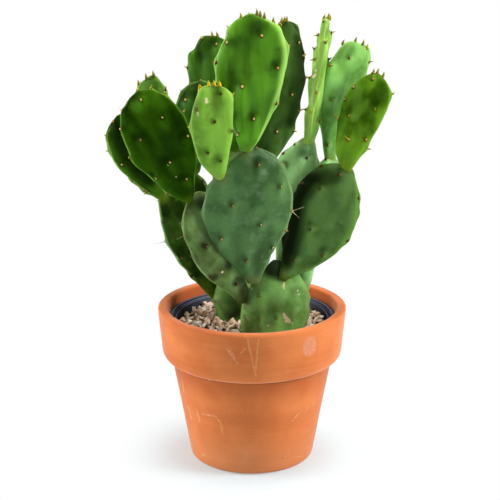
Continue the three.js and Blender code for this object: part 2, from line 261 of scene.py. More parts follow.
def smoothstep(low, high, value):
    share = min(1, max(0, (value - low) / (high - low)))
    return share * share * (3 - 2 * share)


def bell(distance, spread):
    return math.exp(-distance * distance / (2 * spread * spread))


# Pads. What a pad has where its row says nothing else, in millimetres, degrees and the photograph's pixels.
usual = dict(
    nod=0,             # how far it tips to the front
    lop=0,             # how much higher its right belly is than its left, as a share of the length
    waist=0.5,         # share of its thickness left at its foot
    forward=0,         # how far its foot steps to the front
    footRound=0,       # how far up its foot is rounded off
    uneven=0.8, folds=0.3, knobs=1,       # depths of its relief
    band=(0.93, 0.93),       # shares of the half width where its pale rim band starts, left and right; the band is paler rim tissue and partly a painted highlight
    tuft="young",      # the kind of its areoles
    leaves=(0, 0), leafLong=4.4, yellow=0.2,       # small leaves at an areole of the rim and of the face
    seen=(), buds=(),  # pixels of areoles, and of the tops of leaf buds
    spines=(),         # pixels of their feet and points
    scars=(), stains=(), blooms=(),       # corky spots, painted shadows, and pale spots partly wax bloom and partly painted highlight: pixel, spread and maybe weight
    pulls=(),          # from a pixel of the rim towards another, and maybe how widely
)

# One row for each pad, from the soil up. at is where a trunk's foot stands; any other pad grows on the pad
# called "on", at its seat: right of that pad's middle line, up from its foot, back from its middle plane.
# look is its skin in the list below, lean tips it towards +X and turn spins it about its length. belly is
# the share of the length where it is widest, neck the share of width left at its foot, swell and crown
# shape the outline below and above the belly, sweep bows it sideways, and phase turns the areoles of its
# far side.
growth = [
    dict(name="trunk_front", at=(19, -33, 100), look="trunk", slot="old_pad", lean=7, turn=8, long=128,
         wide=70, thick=26, belly=0.6, neck=0.8, swell=1.6, crown=1.35, sweep=-4, phase=285, uneven=0.9,
         knobs=0.35, tuft="worn", seen=[(246, 317), (260, 296), (245, 308), (277, 318), (260, 318)],
         spines=[((246, 317), (252, 322)), ((246, 317), (242, 320))],
         scars=[((284, 283), 0.9), ((283.5, 286), 1.2), ((284, 289), 0.8), ((284, 314), 1.1),
             ((285, 317), 1.4), ((287, 319), 1.8), ((289, 321.5), 1.5), ((292.5, 323.5), 0.9),
             ((286, 321.5), 0.9), ((268, 325.5), 1.1), ((265, 322), 0.6), ((250.8, 287), 1.1),
             ((249.4, 285), 0.8), ((252, 289), 0.8), ((298, 291), 0.9), ((299, 294.5), 0.8)],
         stains=[((268, 270), 5), ((274, 264), 6), ((280, 265), 6), ((276, 272), 6), ((283, 272), 5),
             ((245, 299), 3)], pulls=[((292, 264), (292, 272), 8), ((300, 270), (300, 276), 8)]),
    dict(name="trunk_back", at=(-18, 14, 100), look="trunk", slot="old_pad", lean=-5.5, nod=-2, turn=-15,
         long=93, wide=47, thick=22, belly=0.74, neck=0.8, swell=1.1, crown=2.4, sweep=7, phase=80,
         knobs=0.35, tuft="worn", seen=[(223, 309), (216, 301)],
         stains=[((236, 306), 7, 0.8), ((239, 314), 5), ((231, 317), 4), ((230, 298), 7, 0.5),
             ((224, 314), 5, 0.45)], pulls=[((216, 288), (217, 294), 7)]),
    dict(name="pad_front_centre", on="trunk_front", seat=(-31, 104, -5), look="frontCentre", slot="old_pad",
         lean=1.5, nod=7, turn=6, long=144, wide=92, thick=16, belly=0.61, neck=0.16, swell=1.15, crown=1.6,
         sweep=-8, lop=0.05, phase=320, uneven=0.9, knobs=0.7, band=(0.95, 0.93), tuft="dark",
         seen=[(233, 206), (261, 225), (259, 165), (281, 187), (222, 239), (247, 261), (202, 213),
             (207, 186), (272, 247), (284, 164), (292, 211), (237, 150), (257, 148)],
         spines=[((292, 211), (304, 207)), ((292, 211), (299, 218))],
         stains=[((242, 164), 9, 0.35), ((252, 173), 8, 0.3)],
         blooms=[((252, 152), 3, 1.6), ((259, 151), 3, 1.4), ((266, 154), 3, 1.6), ((273, 160), 3, 1.4),
             ((228, 172), 2.5), ((263, 172), 3)],
         pulls=[((288, 186), (284.5, 186)), ((284, 170), (282, 172)), ((276, 152), (272.5, 156.5), 7),
             ((273, 250), (271.5, 249.5), 7), ((268, 261), (266.5, 260.5), 7)]),
    dict(name="pad_front_right", on="trunk_front", seat=(0, 111, -2), look="frontRight", slot="dark_pad",
         lean=28, nod=-5, turn=-6, long=130, wide=70, thick=16, belly=0.64, neck=0.15, swell=1, crown=1.5,
         sweep=5, lop=-0.05, phase=350, forward=8, uneven=1, folds=0.2, knobs=0.7, band=(0.95, 0.78),
         tuft="brown",
         seen=[(340, 175), (320, 189), (310, 230), (323, 256), (295, 260), (352, 170), (303, 185),
             (358.5, 198), (348, 241), (321, 166)], scars=[((359, 198), 1)],
         stains=[((298, 192), 9, 1.3), ((291, 206), 10, 1.4), ((289, 221), 11, 1.4), ((287, 236), 10, 1.3),
             ((286, 251), 8, 1.2), ((286, 264), 6), ((306, 181), 8), ((316, 176), 8, 0.7),
             ((327, 177), 8, 0.6), ((338, 177), 7, 0.55)],
         blooms=[((340, 184), 2.2), ((341, 222), 2), ((338, 199), 2.5)],
         pulls=[((331, 256), (331.5, 257.5)), ((318, 263), (318.5, 265))]),
    dict(name="pad_front_left", on="trunk_front", seat=(-39, 83, -3), look="frontLeft", slot="brown_pad",
         lean=-24, nod=2, turn=30, long=121, wide=58, thick=15, belly=0.6, neck=0.25, swell=1.2, crown=2.2,
         sweep=-2, phase=315, uneven=1.1, folds=0.35, knobs=0.5, band=(0.97, 0.95), tuft="brown",
         seen=[(182, 224), (181, 236), (190, 257), (207, 247), (211, 276), (236, 284)],
         spines=[((181.6, 236.5), (177, 239))], scars=[((222, 272), 1.1)],
         stains=[((204.5, 245.5), 2.6), ((214, 277), 2.8), ((228, 266), 2.6), ((238, 281), 4),
             ((243, 290), 4.5), ((245, 299), 4), ((202, 203), 6), ((222, 268), 9, 0.5)],
         blooms=[((201, 236), 7, 0.55), ((194, 218), 6, 0.5), ((209, 258), 5, 0.5)]),
    dict(name="pad_back_left", on="trunk_back", seat=(-13, 72, 0), look="backLeft", slot="dark_pad",
         lean=-25.5, nod=-2, turn=25, long=125, wide=54, thick=14, belly=0.5, neck=0.25, swell=0.95,
         crown=1.4, sweep=4, lop=-0.1, phase=255, uneven=0.9, folds=0.5, tuft="brown",
         seen=[(159, 201), (164, 222), (165, 242), (183, 259)],
         spines=[((164, 242), (155, 244)), ((159, 201), (152, 199))],
         blooms=[((199, 284), 5, 1.5), ((206, 291), 5, 1.6), ((211, 296), 4, 1.6)],
         pulls=[((187, 269), (189, 268))]),
    dict(name="pad_back_right", on="trunk_front", seat=(-3, 125, 9), look="backRight", slot="old_pad",
         lean=14, nod=-12, turn=-14, long=127, wide=50, thick=14, belly=0.69, neck=0.22, swell=1.7,
         crown=1.4, sweep=-6, lop=-0.03, phase=35, tuft="brown",
         seen=[(307, 159), (283, 153), (305, 140), (295, 145), (312, 143), (319, 167)],
         stains=[((284, 165), 4)], pulls=[((318, 155), (315, 155))]),
    dict(name="pad_side_right", on="trunk_front", seat=(25, 99, 3), look="backRight", slot="old_pad",
         lean=12.5, nod=-18, turn=20, long=139, wide=38, thick=13, belly=0.66, neck=0.28, swell=1.4,
         crown=2.3, sweep=-7, lop=0.03, phase=0, tuft="brown", seen=[(326, 160)]),
    dict(name="pad_rear_left", on="trunk_back", seat=(-3, 85, 3), look="backLeft", slot="old_pad", lean=-19,
         nod=-12, turn=-10, long=129, wide=45, thick=14, belly=0.46, neck=0.26, swell=0.9, crown=1.8,
         sweep=-1, phase=120, tuft="brown", pulls=[((204, 176), (201, 179))]),
    dict(name="pad_rear_centre", on="trunk_back", seat=(12, 89, 2), look="rear", slot="old_pad", lean=2.5,
         nod=-16, turn=0, long=147, wide=61, thick=15, belly=0.64, neck=0.22, swell=0.9, crown=2.3, sweep=-1,
         phase=33, tuft="brown"),
    dict(name="tip_centre", on="pad_front_centre", seat=(-12, 142, -1), look="tipCentre", slot="young_pad",
         lean=-1, nod=2, turn=-8, long=134, wide=72, thick=15, belly=0.68, neck=0.18, swell=1.2, crown=1.35,
         sweep=8, lop=0.08, phase=165, folds=0.5, knobs=0.6, band=(0.94, 0.75), tuft="bold", leaves=(2, 0),
         seen=[(262, 36), (228, 43), (278, 68), (243, 87), (254, 119), (239, 135), (288, 47), (229, 29),
             (213, 62), (278, 104)],
         stains=[((247, 27), 10, 0.42), ((261, 29), 8, 0.4), ((233, 46), 6, 0.35), ((268, 100), 8, 0.4),
             ((254, 110), 7, 0.3)],
         pulls=[((230, 34), (232.5, 36.5)), ((234, 21), (236.5, 24)), ((264, 19), (265, 17.5)),
             ((275, 26), (276, 24)), ((286, 79), (283.5, 78.5)), ((281.5, 97), (279, 96)),
             ((245, 153), (245, 149.5), 7)], buds=[(239.5, 15), (257, 12), (261, 13), (266, 14), (275, 20)]),
    dict(name="tip_front", on="pad_front_centre", seat=(-37, 116, -5), look="tipFront", slot="lime_pad",
         lean=-4.5, nod=14, turn=12, long=99, wide=42, thick=12, belly=0.6, neck=0.26, swell=1.1, crown=3,
         sweep=-3, lop=0.1, phase=285, footRound=4, uneven=0.6, folds=0.6, knobs=0.35, tuft="brown",
         leaves=(2, 0), yellow=0.85,
         seen=[(197, 110), (215, 122), (208, 153), (221, 161), (232, 96), (231, 131), (221, 94)],
         scars=[((206, 98.5), 1.1), ((206.6, 102), 1.4), ((198, 112.5), 0.9), ((198.4, 115.5), 0.9)],
         pulls=[((220, 180), (220, 176), 8), ((206, 166), (204, 168)), ((212, 174), (210.5, 176))],
         buds=[(197.5, 89.5), (209, 85), (214, 84), (220, 84)]),
    dict(name="tip_rear_right", on="pad_rear_centre", seat=(27, 132, 0), look="tipRearRight",
         slot="young_pad", lean=8, nod=-2, turn=10, long=146, wide=52, thick=14, belly=0.59, neck=0.29,
         swell=0.8, crown=1.5, sweep=1, lop=-0.03, phase=170, uneven=0.6, folds=0.5, knobs=0.5,
         leaves=(2, 0), seen=[(297, 27), (299, 43), (305, 78), (292, 95), (277, 132)],
         spines=[((305, 78), (309, 74))],
         stains=[((302, 42), 6), ((304, 54), 6), ((304, 66), 7), ((304, 80), 7), ((302, 94), 7),
             ((297, 108), 7), ((292, 122), 6)],
         pulls=[((304, 62), (302.5, 62)), ((301, 102), (299.5, 101.5)), ((287, 136), (289, 137)),
             ((262, 142), (256, 144), 6)], buds=[(280.5, 20), (284, 21), (286.5, 20)]),
    dict(name="tip_rear_left", on="pad_rear_centre", seat=(-13, 136, 0), look="tipRearLeft", slot="dark_pad",
         lean=-10.5, nod=-7, turn=-10, long=125, wide=64, thick=13, belly=0.52, neck=0.26, swell=0.9,
         crown=2.3, sweep=1, lop=-0.06, phase=30, folds=0.9, leaves=(1, 0),
         seen=[(202, 38), (192, 54), (218, 46)], pulls=[((188.5, 57), (190.5, 57))],
         buds=[(212, 36), (218, 35)]),
    dict(name="tip_edgewise", on="pad_back_right", seat=(-1, 126, 0), look="tipEdgewise", slot="lime_pad",
         lean=7.5, turn=84, long=129, wide=46, thick=14, belly=0.4, neck=0.5, swell=0.6, crown=2.4, sweep=-5,
         waist=0.8, phase=20, uneven=0.5, folds=0.2, leaves=(2, 1),
         seen=[(324, 22), (325, 43), (317, 93), (316, 35), (315, 50), (315, 60), (306, 110), (332, 34),
             (329, 60), (318, 122)],
         scars=[((312.5, 70), 1.4), ((312.2, 74), 1.5), ((313.5, 77), 1.4), ((316, 70.5), 1.2),
             ((315.5, 75), 1.2)],
         stains=[((312, 62), 4, 0.3), ((310, 80), 4, 0.35), ((308, 96), 4, 0.4), ((307, 110), 4, 0.4),
             ((306, 124), 4, 0.35)], pulls=[((314, 55), (315.5, 55)), ((309, 101), (307.5, 101))],
         buds=[(322, 18), (328, 18), (331, 19)]),
    dict(name="tip_right", on="pad_side_right", seat=(-2, 137, 0), look="tipRight", slot="young_pad",
         lean=16, turn=30, long=123, wide=50, thick=13, belly=0.74, neck=0.29, swell=2.2, crown=2.8,
         sweep=-17, lop=-0.12, phase=175, folds=0.4, knobs=0.5, leaves=(2, 0),
         seen=[(349, 58), (332, 100), (328, 145), (331, 66)],
         pulls=[((352, 44), (352, 41)), ((369, 48), (366, 50)), ((370, 58), (366.5, 58))],
         buds=[(342, 43), (357, 38), (363, 41), (367, 49)]),
    dict(name="tip_far_right", on="pad_front_right", seat=(3, 129, 0), look="tipFarRight", slot="young_pad",
         lean=20, nod=-8, turn=-20, long=101, wide=45, thick=14, belly=0.64, neck=0.28, swell=0.9, crown=2,
         sweep=-4, lop=0.05, phase=230, uneven=0.5, folds=0.4, knobs=0.5, leaves=(2, 1), leafLong=6,
         seen=[(373, 80), (375, 110), (349, 116), (349, 140), (366, 140), (392, 95), (354, 88), (346, 100),
             (338, 119), (367, 150)], spines=[((392, 95), (398, 93))],
         blooms=[((358, 91), 4), ((357, 100), 4), ((356, 109), 4), ((354, 118), 3.5)],
         pulls=[((389, 84), (386, 86)), ((392, 97), (390, 97)), ((382, 125), (380.5, 124)),
             ((340, 150), (338, 150))], buds=[(371, 69), (378, 70), (386, 73)]),
    dict(name="tip_left", on="pad_front_left", seat=(-9, 120, -2), look="tipLeft", slot="dark_pad",
         lean=-25.5, nod=10, turn=-8, long=125, wide=69, thick=14, belly=0.66, neck=0.17, swell=1.05,
         crown=1.9, sweep=4, lop=0.08, phase=270, footRound=4, uneven=0.9, folds=0.5, leaves=(1, 0),
         seen=[(142, 100), (164, 118), (141, 140), (171, 162), (158, 178), (187, 179), (122, 111), (165, 93),
             (184, 112), (188, 136), (130, 158), (121, 129), (151, 87), (138, 90)],
         spines=[((122, 111), (118, 107))], scars=[((168.5, 165.5), 0.7), ((176, 177), 0.8)],
         blooms=[((149, 95), 8), ((134, 108), 7, 0.8), ((164, 106), 7, 0.5)],
         pulls=[((127, 99), (129.5, 101)), ((140, 94), (140, 89)), ((151, 92), (152, 87)),
             ((171, 97), (169, 98.5)), ((187, 205), (187, 202))]),
    dict(name="tip_far_left", on="pad_back_left", seat=(-4, 123, 0), look="tipFarLeft", slot="dark_pad",
         lean=-27.5, nod=9, turn=10, long=101, wide=54, thick=13, belly=0.5, neck=0.24, swell=0.75, crown=3,
         sweep=5, lop=-0.05, phase=125, folds=0.7, leaves=(1, 0),
         seen=[(106, 136), (114, 122), (119, 117), (123, 165), (131, 181)],
         stains=[((117, 122), 6), ((119, 134), 7), ((123, 147), 7), ((130, 160), 7), ((139, 171), 7),
             ((150, 181), 6)],
         pulls=[((116.5, 161), (114.8, 162.5), 8), ((138, 189), (138.8, 187.6), 8),
             ((149, 195), (150, 193), 8)]),
    dict(name="tip_left_rear", on="pad_back_left", seat=(11, 120, 2), look="tipLeftRear", slot="young_pad",
         lean=-12.5, nod=-12, turn=10, long=125, wide=48, thick=13, belly=0.48, neck=0.26, swell=0.85,
         crown=2, sweep=-8, phase=30, folds=0.7, leaves=(1, 0), buds=[(145, 76), (154, 75), (136.5, 83)]),
    dict(name="tip_left_inner", on="pad_rear_left", seat=(5, 124, 0), look="tipLeftInner", slot="dark_pad",
         lean=6.5, nod=4, turn=5, long=100, wide=40, thick=13, belly=0.74, neck=0.3, swell=0.6, crown=2.6,
         sweep=-7, lop=0.1, phase=285, uneven=0.7, folds=0.7, leaves=(1, 0),
         seen=[(190, 83), (201, 81), (181, 91), (186, 101), (196, 158)]),
]

growth = [{**usual, **pad} for pad in growth]

padForm = dict(
    sink=4,              # how far a rounded foot runs into the pad that carries it
    edgeBlunt=2.8, faceRound=2.1, thickest=0.45, shoulder=3.4,
    facet=1.9, aroundBy=16, alongBy=24,          # widest step between points, and what their counts divide by
    touch=0.01, rounds=6,      # how near a face touches a point, and rounds of a search for the nearest one
    foldWide=13, foldLong=46, foldDeep=5, unevenSize=26, unevenDeep=2.6, rimCalm=0.5,
    knob=3.2, knobWide=3.6, knobAbove=2.6, knobBelow=9, faceDeep=3,      # the raised seat of each areole
    moat=1.2, moatSpread=9, pit=1.8, pitAside=-3.6, pitUp=3.4, pitSpread=3,   # and the hollows round it
    reach=19, edgeFrom=0.35, edgeTo=0.8, knobRimCalm=0.6, onRim=0.55,
    pullSpread=11, corner=2.4, cornerSpread=5, swelling=0.9, swellingSpread=6,
    rimFrom=0.4, rimTo=0.95, jointFrom=-2, jointTo=14, rootLong=12, rootCalm=0.75,
    forwardLong=30,      # how far up a foot that steps forward does so
    shadeAside=-1.7, shadeUp=0.8, shadeSpread=2.3,                       # painted shade beside each areole
    wander=(17.3, 5.1, 9.7), patternStep=11.3,   # so that no two pads have the same relief or pattern
)
marks = ("scars", "stains", "blooms")


# How much of its breadth a pad has near its rounded foot.
def footShare(pad, u):
    below = pad["footRound"] - u * pad["long"]
    if below <= 0:
        return 1
    return math.sqrt(max(0, 1 - (below / (pad["footRound"] + padForm["sink"])) ** 2))


def halfWidth(pad, u, side):
    belly = pad["belly"] + pad["lop"] * ((side > 0) - (side < 0))
    half = pad["wide"] / 2
    if u < 0:
        return half * pad["neck"] * footShare(pad, u)
    if u < belly:
        rise = math.sin(math.pi / 2 * u / belly) ** pad["swell"]
        return half * (pad["neck"] + (1 - pad["neck"]) * rise) * footShare(pad, u)
    return half * math.sqrt(max(0, 1 - ((u - belly) / (1 - belly)) ** pad["crown"]))


def halfThickness(pad, u):
    waist, thickest = pad["waist"], padForm["thickest"]
    half = pad["thick"] / 2
    if u < 0:
        return half * waist * footShare(pad, u)
    if u < thickest:
        return half * (waist + (1 - waist) * math.sin(math.pi / 2 * u / thickest)) * footShare(pad, u)
    past = (u - thickest) / (1 - thickest)
    return half * math.sqrt(max(0, 1 - past ** padForm["shoulder"]))


def bowAt(pad, u):
    return pad["sweep"] * 4 * max(0, u) * (1 - max(0, u))


# A point of the skin at a share u of the length and an angle round it: 0 the right edge, 90 the front.
def skinPoint(pad, u, angle):
    side, face = math.cos(angle), math.sin(angle)
    blunt = abs(side) ** padForm["edgeBlunt"] + abs(face) ** padForm["faceRound"]
    side /= blunt ** (1 / padForm["edgeBlunt"])
    face /= blunt ** (1 / padForm["faceRound"])
    across = halfWidth(pad, u, side) * side + bowAt(pad, u)
    return Vector((across, -halfThickness(pad, u) * face, u * pad["long"]))


balls = {}


# A unit sphere with so many segments, made once and copied.
def ballOf(around, along):
    if (around, along) not in balls:
        shape = bmesh.new()
        bmesh.ops.create_uvsphere(shape, u_segments=around, v_segments=along, radius=1)
        balls[around, along] = shape
    return balls[around, along].copy()


def bareSkin(pad):
    form = padForm
    whole = pad["long"] + form["sink"]
    around = form["aroundBy"] * math.ceil(math.pi * pad["wide"] / form["facet"] / form["aroundBy"])
    along = form["alongBy"] * math.ceil(math.pi * whole / 2 / form["facet"] / form["alongBy"])
    shape = ballOf(around, along)
    for point in shape.verts:
        u = ((1 + point.co.z) / 2 * whole - form["sink"]) / pad["long"]
        point.co = skinPoint(pad, u, math.atan2(-point.co.y, point.co.x))
        point.co.y -= pad["forward"] * (1 - smoothstep(0, form["forwardLong"], point.co.z))
    shape.normal_update()
    return shape


def placePads():
    byName = {pad["name"]: pad for pad in growth}
    for pad in growth:
        lean, nod, turn = (math.radians(pad[word]) for word in ("lean", "nod", "turn"))
        turned = Matrix.Rotation(lean, 4, "Y") @ Matrix.Rotation(nod, 4, "X") @ Matrix.Rotation(turn, 4, "Z")
        pad["children"] = []
        if "at" in pad:
            spot = Vector(pad["at"])
        else:
            across, up, back = pad["seat"]
            seat = Vector((across, back, up))
            spot = byName[pad["on"]]["matrix"] @ seat
            byName[pad["on"]]["children"].append(seat)
        pad["matrix"] = Matrix.Translation(spot) @ turned


# The point of a pad nearest to another. Where faces meet, the tree may name any of them from run to run,
# so the normal is that of the first one that touches the point.
def nearestOn(tree, place):
    point = tree.find_nearest(place)[0]
    touching = tree.find_nearest_range(point, padForm["touch"])
    return point, min(touching, key=lambda found: found[2])[1]


# Where the ray through a pixel meets a pad, or passes nearest to it, in the pad's own millimetres.
def seatUnder(pixel, pad, tree):
    inverse = pad["matrix"].inverted()
    start, ahead = rayThrough(pixel)
    start, ahead = inverse @ start, inverse.to_3x3() @ ahead
    hit, normal, _, _ = tree.ray_cast(start, ahead)
    if hit is None:
        hit = Vector((0, 0, pad["long"] / 2))
        for _ in range(padForm["rounds"]):
            hit, normal = nearestOn(tree, start + ahead * (hit - start).dot(ahead))
    return hit, normal, start, ahead


# Where areoles are tried that the photograph doesn't show, as shares of the length, and how far apart.
areoles = dict(
    top=0.995, rimStep=0.025, rimTries=40, foot=0.12, high=0.7, apartHigh=15, apartLow=19,
    farLong=0.8, farTries=60, farTurn=137.508, farBelow=-0.15, farApart=21,
    clearOfChild=11, clearOfGravel=6, gravelTop=147.5,
)


# Every areole of a pad: those that the photograph shows, then more round the rim and on the far side.
def areoleSeats(pad, tree):
    seats = []

    def tryAt(u, angle, apart):
        point, normal = nearestOn(tree, skinPoint(pad, u, angle))
        clear = all((point - seat).length > apart for seat, _ in seats)
        clear = clear and all((point - child).length > areoles["clearOfChild"] for child in pad["children"])
        if clear and (pad["matrix"] @ point).z > areoles["gravelTop"] + areoles["clearOfGravel"]:
            seats.append((point, normal))

    for pixel in pad["seen"]:
        seats.append(seatUnder(pixel, pad, tree)[:2])
    for step in range(areoles["rimTries"]):
        u = areoles["top"] - step * areoles["rimStep"]
        for edge in (0, math.pi):
            if u > areoles["foot"]:
                tryAt(u, edge, areoles["apartHigh" if u > areoles["high"] else "apartLow"])
    for step in range(areoles["farTries"]):
        u = areoles["foot"] + areoles["farLong"] * (step + 0.5) / areoles["farTries"]
        angle = math.radians(pad["phase"] + step * areoles["farTurn"])
        if not pad["seen"] or math.sin(angle) < areoles["farBelow"]:
            tryAt(u, angle, areoles["farApart"])
    return seats


# How far an areole on a pad's face lifts or sinks the skin at an offset from it.
def faceRelief(offset):
    form = padForm
    tall = form["knobAbove"] if offset.z > 0 else form["knobBelow"]
    knob = form["knob"] * bell(offset.x, form["knobWide"]) * bell(offset.z, tall)
    moat = form["moat"] * bell(math.hypot(offset.x, offset.z), form["moatSpread"])
    hollow = math.hypot(offset.x - form["pitAside"], offset.z - form["pitUp"])
    pit = form["pit"] * bell(hollow, form["pitSpread"])
    return (knob - moat - pit) * bell(offset.y, form["faceDeep"])


# The pale band inside a pad's rim, from 0 to 1 at the very edge; it is paler rim tissue and partly a painted
# highlight.
def paleBandAt(pad, here):
    u = here.z / pad["long"]
    side = here.x - bowAt(pad, u)
    share = abs(side) / max(1, halfWidth(pad, u, side))
    left, right = pad["band"]
    return smoothstep(right if side > 0 else left, 1, share)


# Pulls a pad's rim from pixels of the photograph towards others.
def pullRim(pad, shape, tree):
    pulls = []
    for start, end, *spread in pad["pulls"]:
        hit, _, _, _ = seatUnder(start, pad, tree)
        _, _, origin, ahead = seatUnder(end, pad, tree)
        shift = origin + ahead * (hit - origin).dot(ahead) - hit
        shift.y = 0
        pulls.append((hit, shift, spread[0] if spread else padForm["pullSpread"]))
    for point in shape.verts:
        at = point.co.copy()
        shares = [bell(math.hypot(at.x - hit.x, at.z - hit.z), spread) for hit, _, spread in pulls]
        total = max(1, sum(shares))
        for share, (_, shift, _) in zip(shares, pulls):
            point.co += shift * share / total
    shape.normal_update()


def shapePad(pad, wander):
    form = padForm
    shape = bareSkin(pad)
    plain = [point.co.copy() for point in shape.verts]
    if pad["pulls"]:
        pullRim(pad, shape, BVHTree.FromBMesh(shape))
    tree = BVHTree.FromBMesh(shape)
    seats = areoleSeats(pad, tree)
    near = KDTree(len(seats))
    for index, (point, _) in enumerate(seats):
        near.insert(point, index)
    near.balance()
    spots = {word: [(seatUnder(pixel, pad, tree)[0], size, weight[0] if weight else 1)
                    for pixel, size, *weight in pad[word]] for word in marks}
    layers = {word: shape.verts.layers.float.new(word) for word in ("rim", "halo", "joint", "lift", *marks)}
    local = shape.verts.layers.float_vector.new("local")
    normals = [point.normal.copy() for point in shape.verts]
    shadeFrom = Vector((form["shadeAside"], 0, form["shadeUp"]))
    for point, normal, sheet in zip(shape.verts, normals, plain):
        here = point.co.copy()
        rim = smoothstep(form["rimFrom"], form["rimTo"], 1 - abs(normal.y))
        push, halo, lift = 0, 0, 0
        for _, index, distance in near.find_range(here, form["reach"]):
            seat, facing = seats[index]
            edge = smoothstep(form["edgeFrom"], form["edgeTo"], 1 - abs(facing.y))
            calm = (1 - edge) * (1 - rim * form["knobRimCalm"]) * pad["knobs"]
            lift += faceRelief(here - seat) * calm
            push += form["corner"] * bell(distance, form["cornerSpread"]) * rim * edge
            halo = max(halo, bell((here - seat - shadeFrom).length, form["shadeSpread"]) * (1 - edge))
        swellings = (bell((here - seat).length, form["swellingSpread"]) for seat in pad["children"])
        joint = max(swellings, default=0)
        push += form["swelling"] * joint
        flow = Vector((here.x / form["foldWide"], here.y / form["foldWide"], here.z / form["foldLong"]))
        lift += form["foldDeep"] * pad["folds"] * (1 - rim) * noise.noise(flow + wander)
        waves = form["unevenDeep"] * pad["uneven"] * noise.noise(here / form["unevenSize"] - wander)
        push += lift + waves * (1 - form["rimCalm"] * rim)
        root = 1 - smoothstep(0, form["rootLong"], here.z)
        point.co = here + normal * push * (1 - form["rootCalm"] * root)
        point[layers["rim"]] = max(rim, paleBandAt(pad, sheet))
        point[layers["halo"]] = halo
        point[layers["lift"]] = lift
        point[layers["joint"]] = max(1 - smoothstep(form["jointFrom"], form["jointTo"], here.z), joint)
        for word in marks:
            shares = (weight * bell((here - spot).length, size) for spot, size, weight in spots[word])
            point[layers[word]] = sum(shares)
        point[local] = here
    shape.normal_update()
    pad["surface"] = BVHTree.FromBMesh(shape)
    pad["areoles"] = []
    for point, normal in seats:
        spot = pad["surface"].find_nearest(point)[0]
        facing = (pad["matrix"].to_3x3() @ normal).normalized()
        pad["areoles"].append((pad["matrix"] @ spot, facing, abs(normal.y) < form["onRim"]))
    shape.transform(toMetres @ pad["matrix"])
    return shape


# Skins of the pads. Their colours are as a picture shows them. bloom is the share of pale wax, streak how
# strongly the skin is striped along the pad, speckle how strongly it is freckled, edging the share of the
# rim colour, which is partly paler rim tissue and partly a painted highlight, gloss the shader's specular
# level and rough its roughness.
plainSkin = dict(speckle=0.3, rough=0.5, edging=0.85)
skins = dict(
    trunk=dict(base=(126, 178, 86), deep=(98, 140, 62), pale=(161, 198, 136), rim=(122, 150, 84),
        foot=(120, 122, 62), bloom=0.3, streak=0.25, speckle=0.5, gloss=0.12, rough=0.55),
    frontCentre=dict(base=(86, 123, 63), deep=(62, 95, 42), pale=(112, 142, 100), rim=(120, 152, 92),
        foot=(116, 124, 62), bloom=0.5, streak=0.25, speckle=0.5, gloss=0.16),
    frontRight=dict(base=(86, 119, 57), deep=(62, 90, 36), pale=(100, 132, 82), rim=(92, 134, 44),
        foot=(84, 88, 8), bloom=0.4, streak=0.3, speckle=0.35, gloss=0.03, edging=0.7),
    frontLeft=dict(base=(116, 149, 79), deep=(75, 92, 41), pale=(136, 162, 106), rim=(126, 140, 80),
        foot=(84, 100, 40), bloom=0.35, streak=0.3, speckle=0.4, gloss=0.08),
    backLeft=dict(base=(46, 77, 19), deep=(25, 48, 5), pale=(98, 122, 34), rim=(122, 150, 78),
        foot=(112, 136, 20), bloom=0.3, streak=0.3, speckle=0.35, gloss=0.04),
    backRight=dict(base=(145, 194, 118), deep=(105, 151, 81), pale=(169, 208, 149), rim=(144, 178, 120),
        foot=(120, 140, 70), bloom=0.5, streak=0.2, speckle=0.4, gloss=0.15),
    rear=dict(base=(112, 145, 86), deep=(77, 106, 53), pale=(145, 168, 121), rim=(140, 170, 108),
        foot=(120, 136, 70), bloom=0.5, streak=0.2, speckle=0.4, gloss=0.12),
    tipCentre=dict(base=(98, 157, 34), deep=(60, 104, 13), pale=(112, 162, 62), rim=(160, 208, 92),
        foot=(112, 140, 36), bloom=0.2, streak=0.5, gloss=0.07, rough=0.4),
    tipFront=dict(base=(128, 176, 56), deep=(97, 137, 29), pale=(145, 188, 85), rim=(156, 194, 86),
        foot=(140, 150, 54), bloom=0.3, streak=0.35, speckle=0.4, gloss=0.08, rough=0.42),
    tipRearRight=dict(base=(74, 106, 46), deep=(58, 87, 30), pale=(97, 126, 70), rim=(70, 104, 34),
        foot=(112, 140, 50), bloom=0.3, streak=0.5, gloss=0.03, edging=0.5),
    tipRearLeft=dict(base=(75, 120, 38), deep=(46, 86, 13), pale=(109, 151, 68), rim=(116, 154, 72),
        foot=(104, 134, 44), bloom=0.25, streak=0.55, gloss=0.02),
    tipEdgewise=dict(base=(146, 188, 82), deep=(98, 142, 42), pale=(156, 188, 104), rim=(152, 190, 84),
        foot=(140, 170, 60), bloom=0.25, streak=0.15, gloss=0.08, rough=0.4),
    tipRight=dict(base=(130, 183, 90), deep=(92, 142, 52), pale=(150, 192, 114), rim=(152, 194, 96),
        foot=(130, 160, 60), bloom=0.35, streak=0.3, gloss=0.08, rough=0.42),
    tipFarRight=dict(base=(102, 145, 29), deep=(50, 86, 2), pale=(112, 152, 56), rim=(112, 152, 22),
        foot=(118, 140, 30), bloom=0.2, streak=0.4, gloss=0.05, rough=0.38),
    tipLeft=dict(base=(46, 81, 0), deep=(30, 60, 0), pale=(92, 146, 26), rim=(112, 156, 44),
        foot=(76, 96, 10), bloom=0.1, streak=0.35, speckle=0.12, gloss=0.015),
    tipFarLeft=dict(base=(66, 108, 18), deep=(36, 70, 4), pale=(98, 132, 52), rim=(138, 168, 72),
        foot=(110, 132, 40), bloom=0.2, streak=0.35, gloss=0.015),
    tipLeftRear=dict(base=(82, 124, 38), deep=(56, 94, 18), pale=(112, 149, 65), rim=(150, 184, 94),
        foot=(120, 146, 50), bloom=0.3, streak=0.4, gloss=0.07, rough=0.42),
    tipLeftInner=dict(base=(80, 130, 47), deep=(50, 84, 18), pale=(110, 148, 76), rim=(120, 156, 74),
        foot=(106, 134, 44), bloom=0.25, streak=0.6, gloss=0.06, rough=0.42),
)


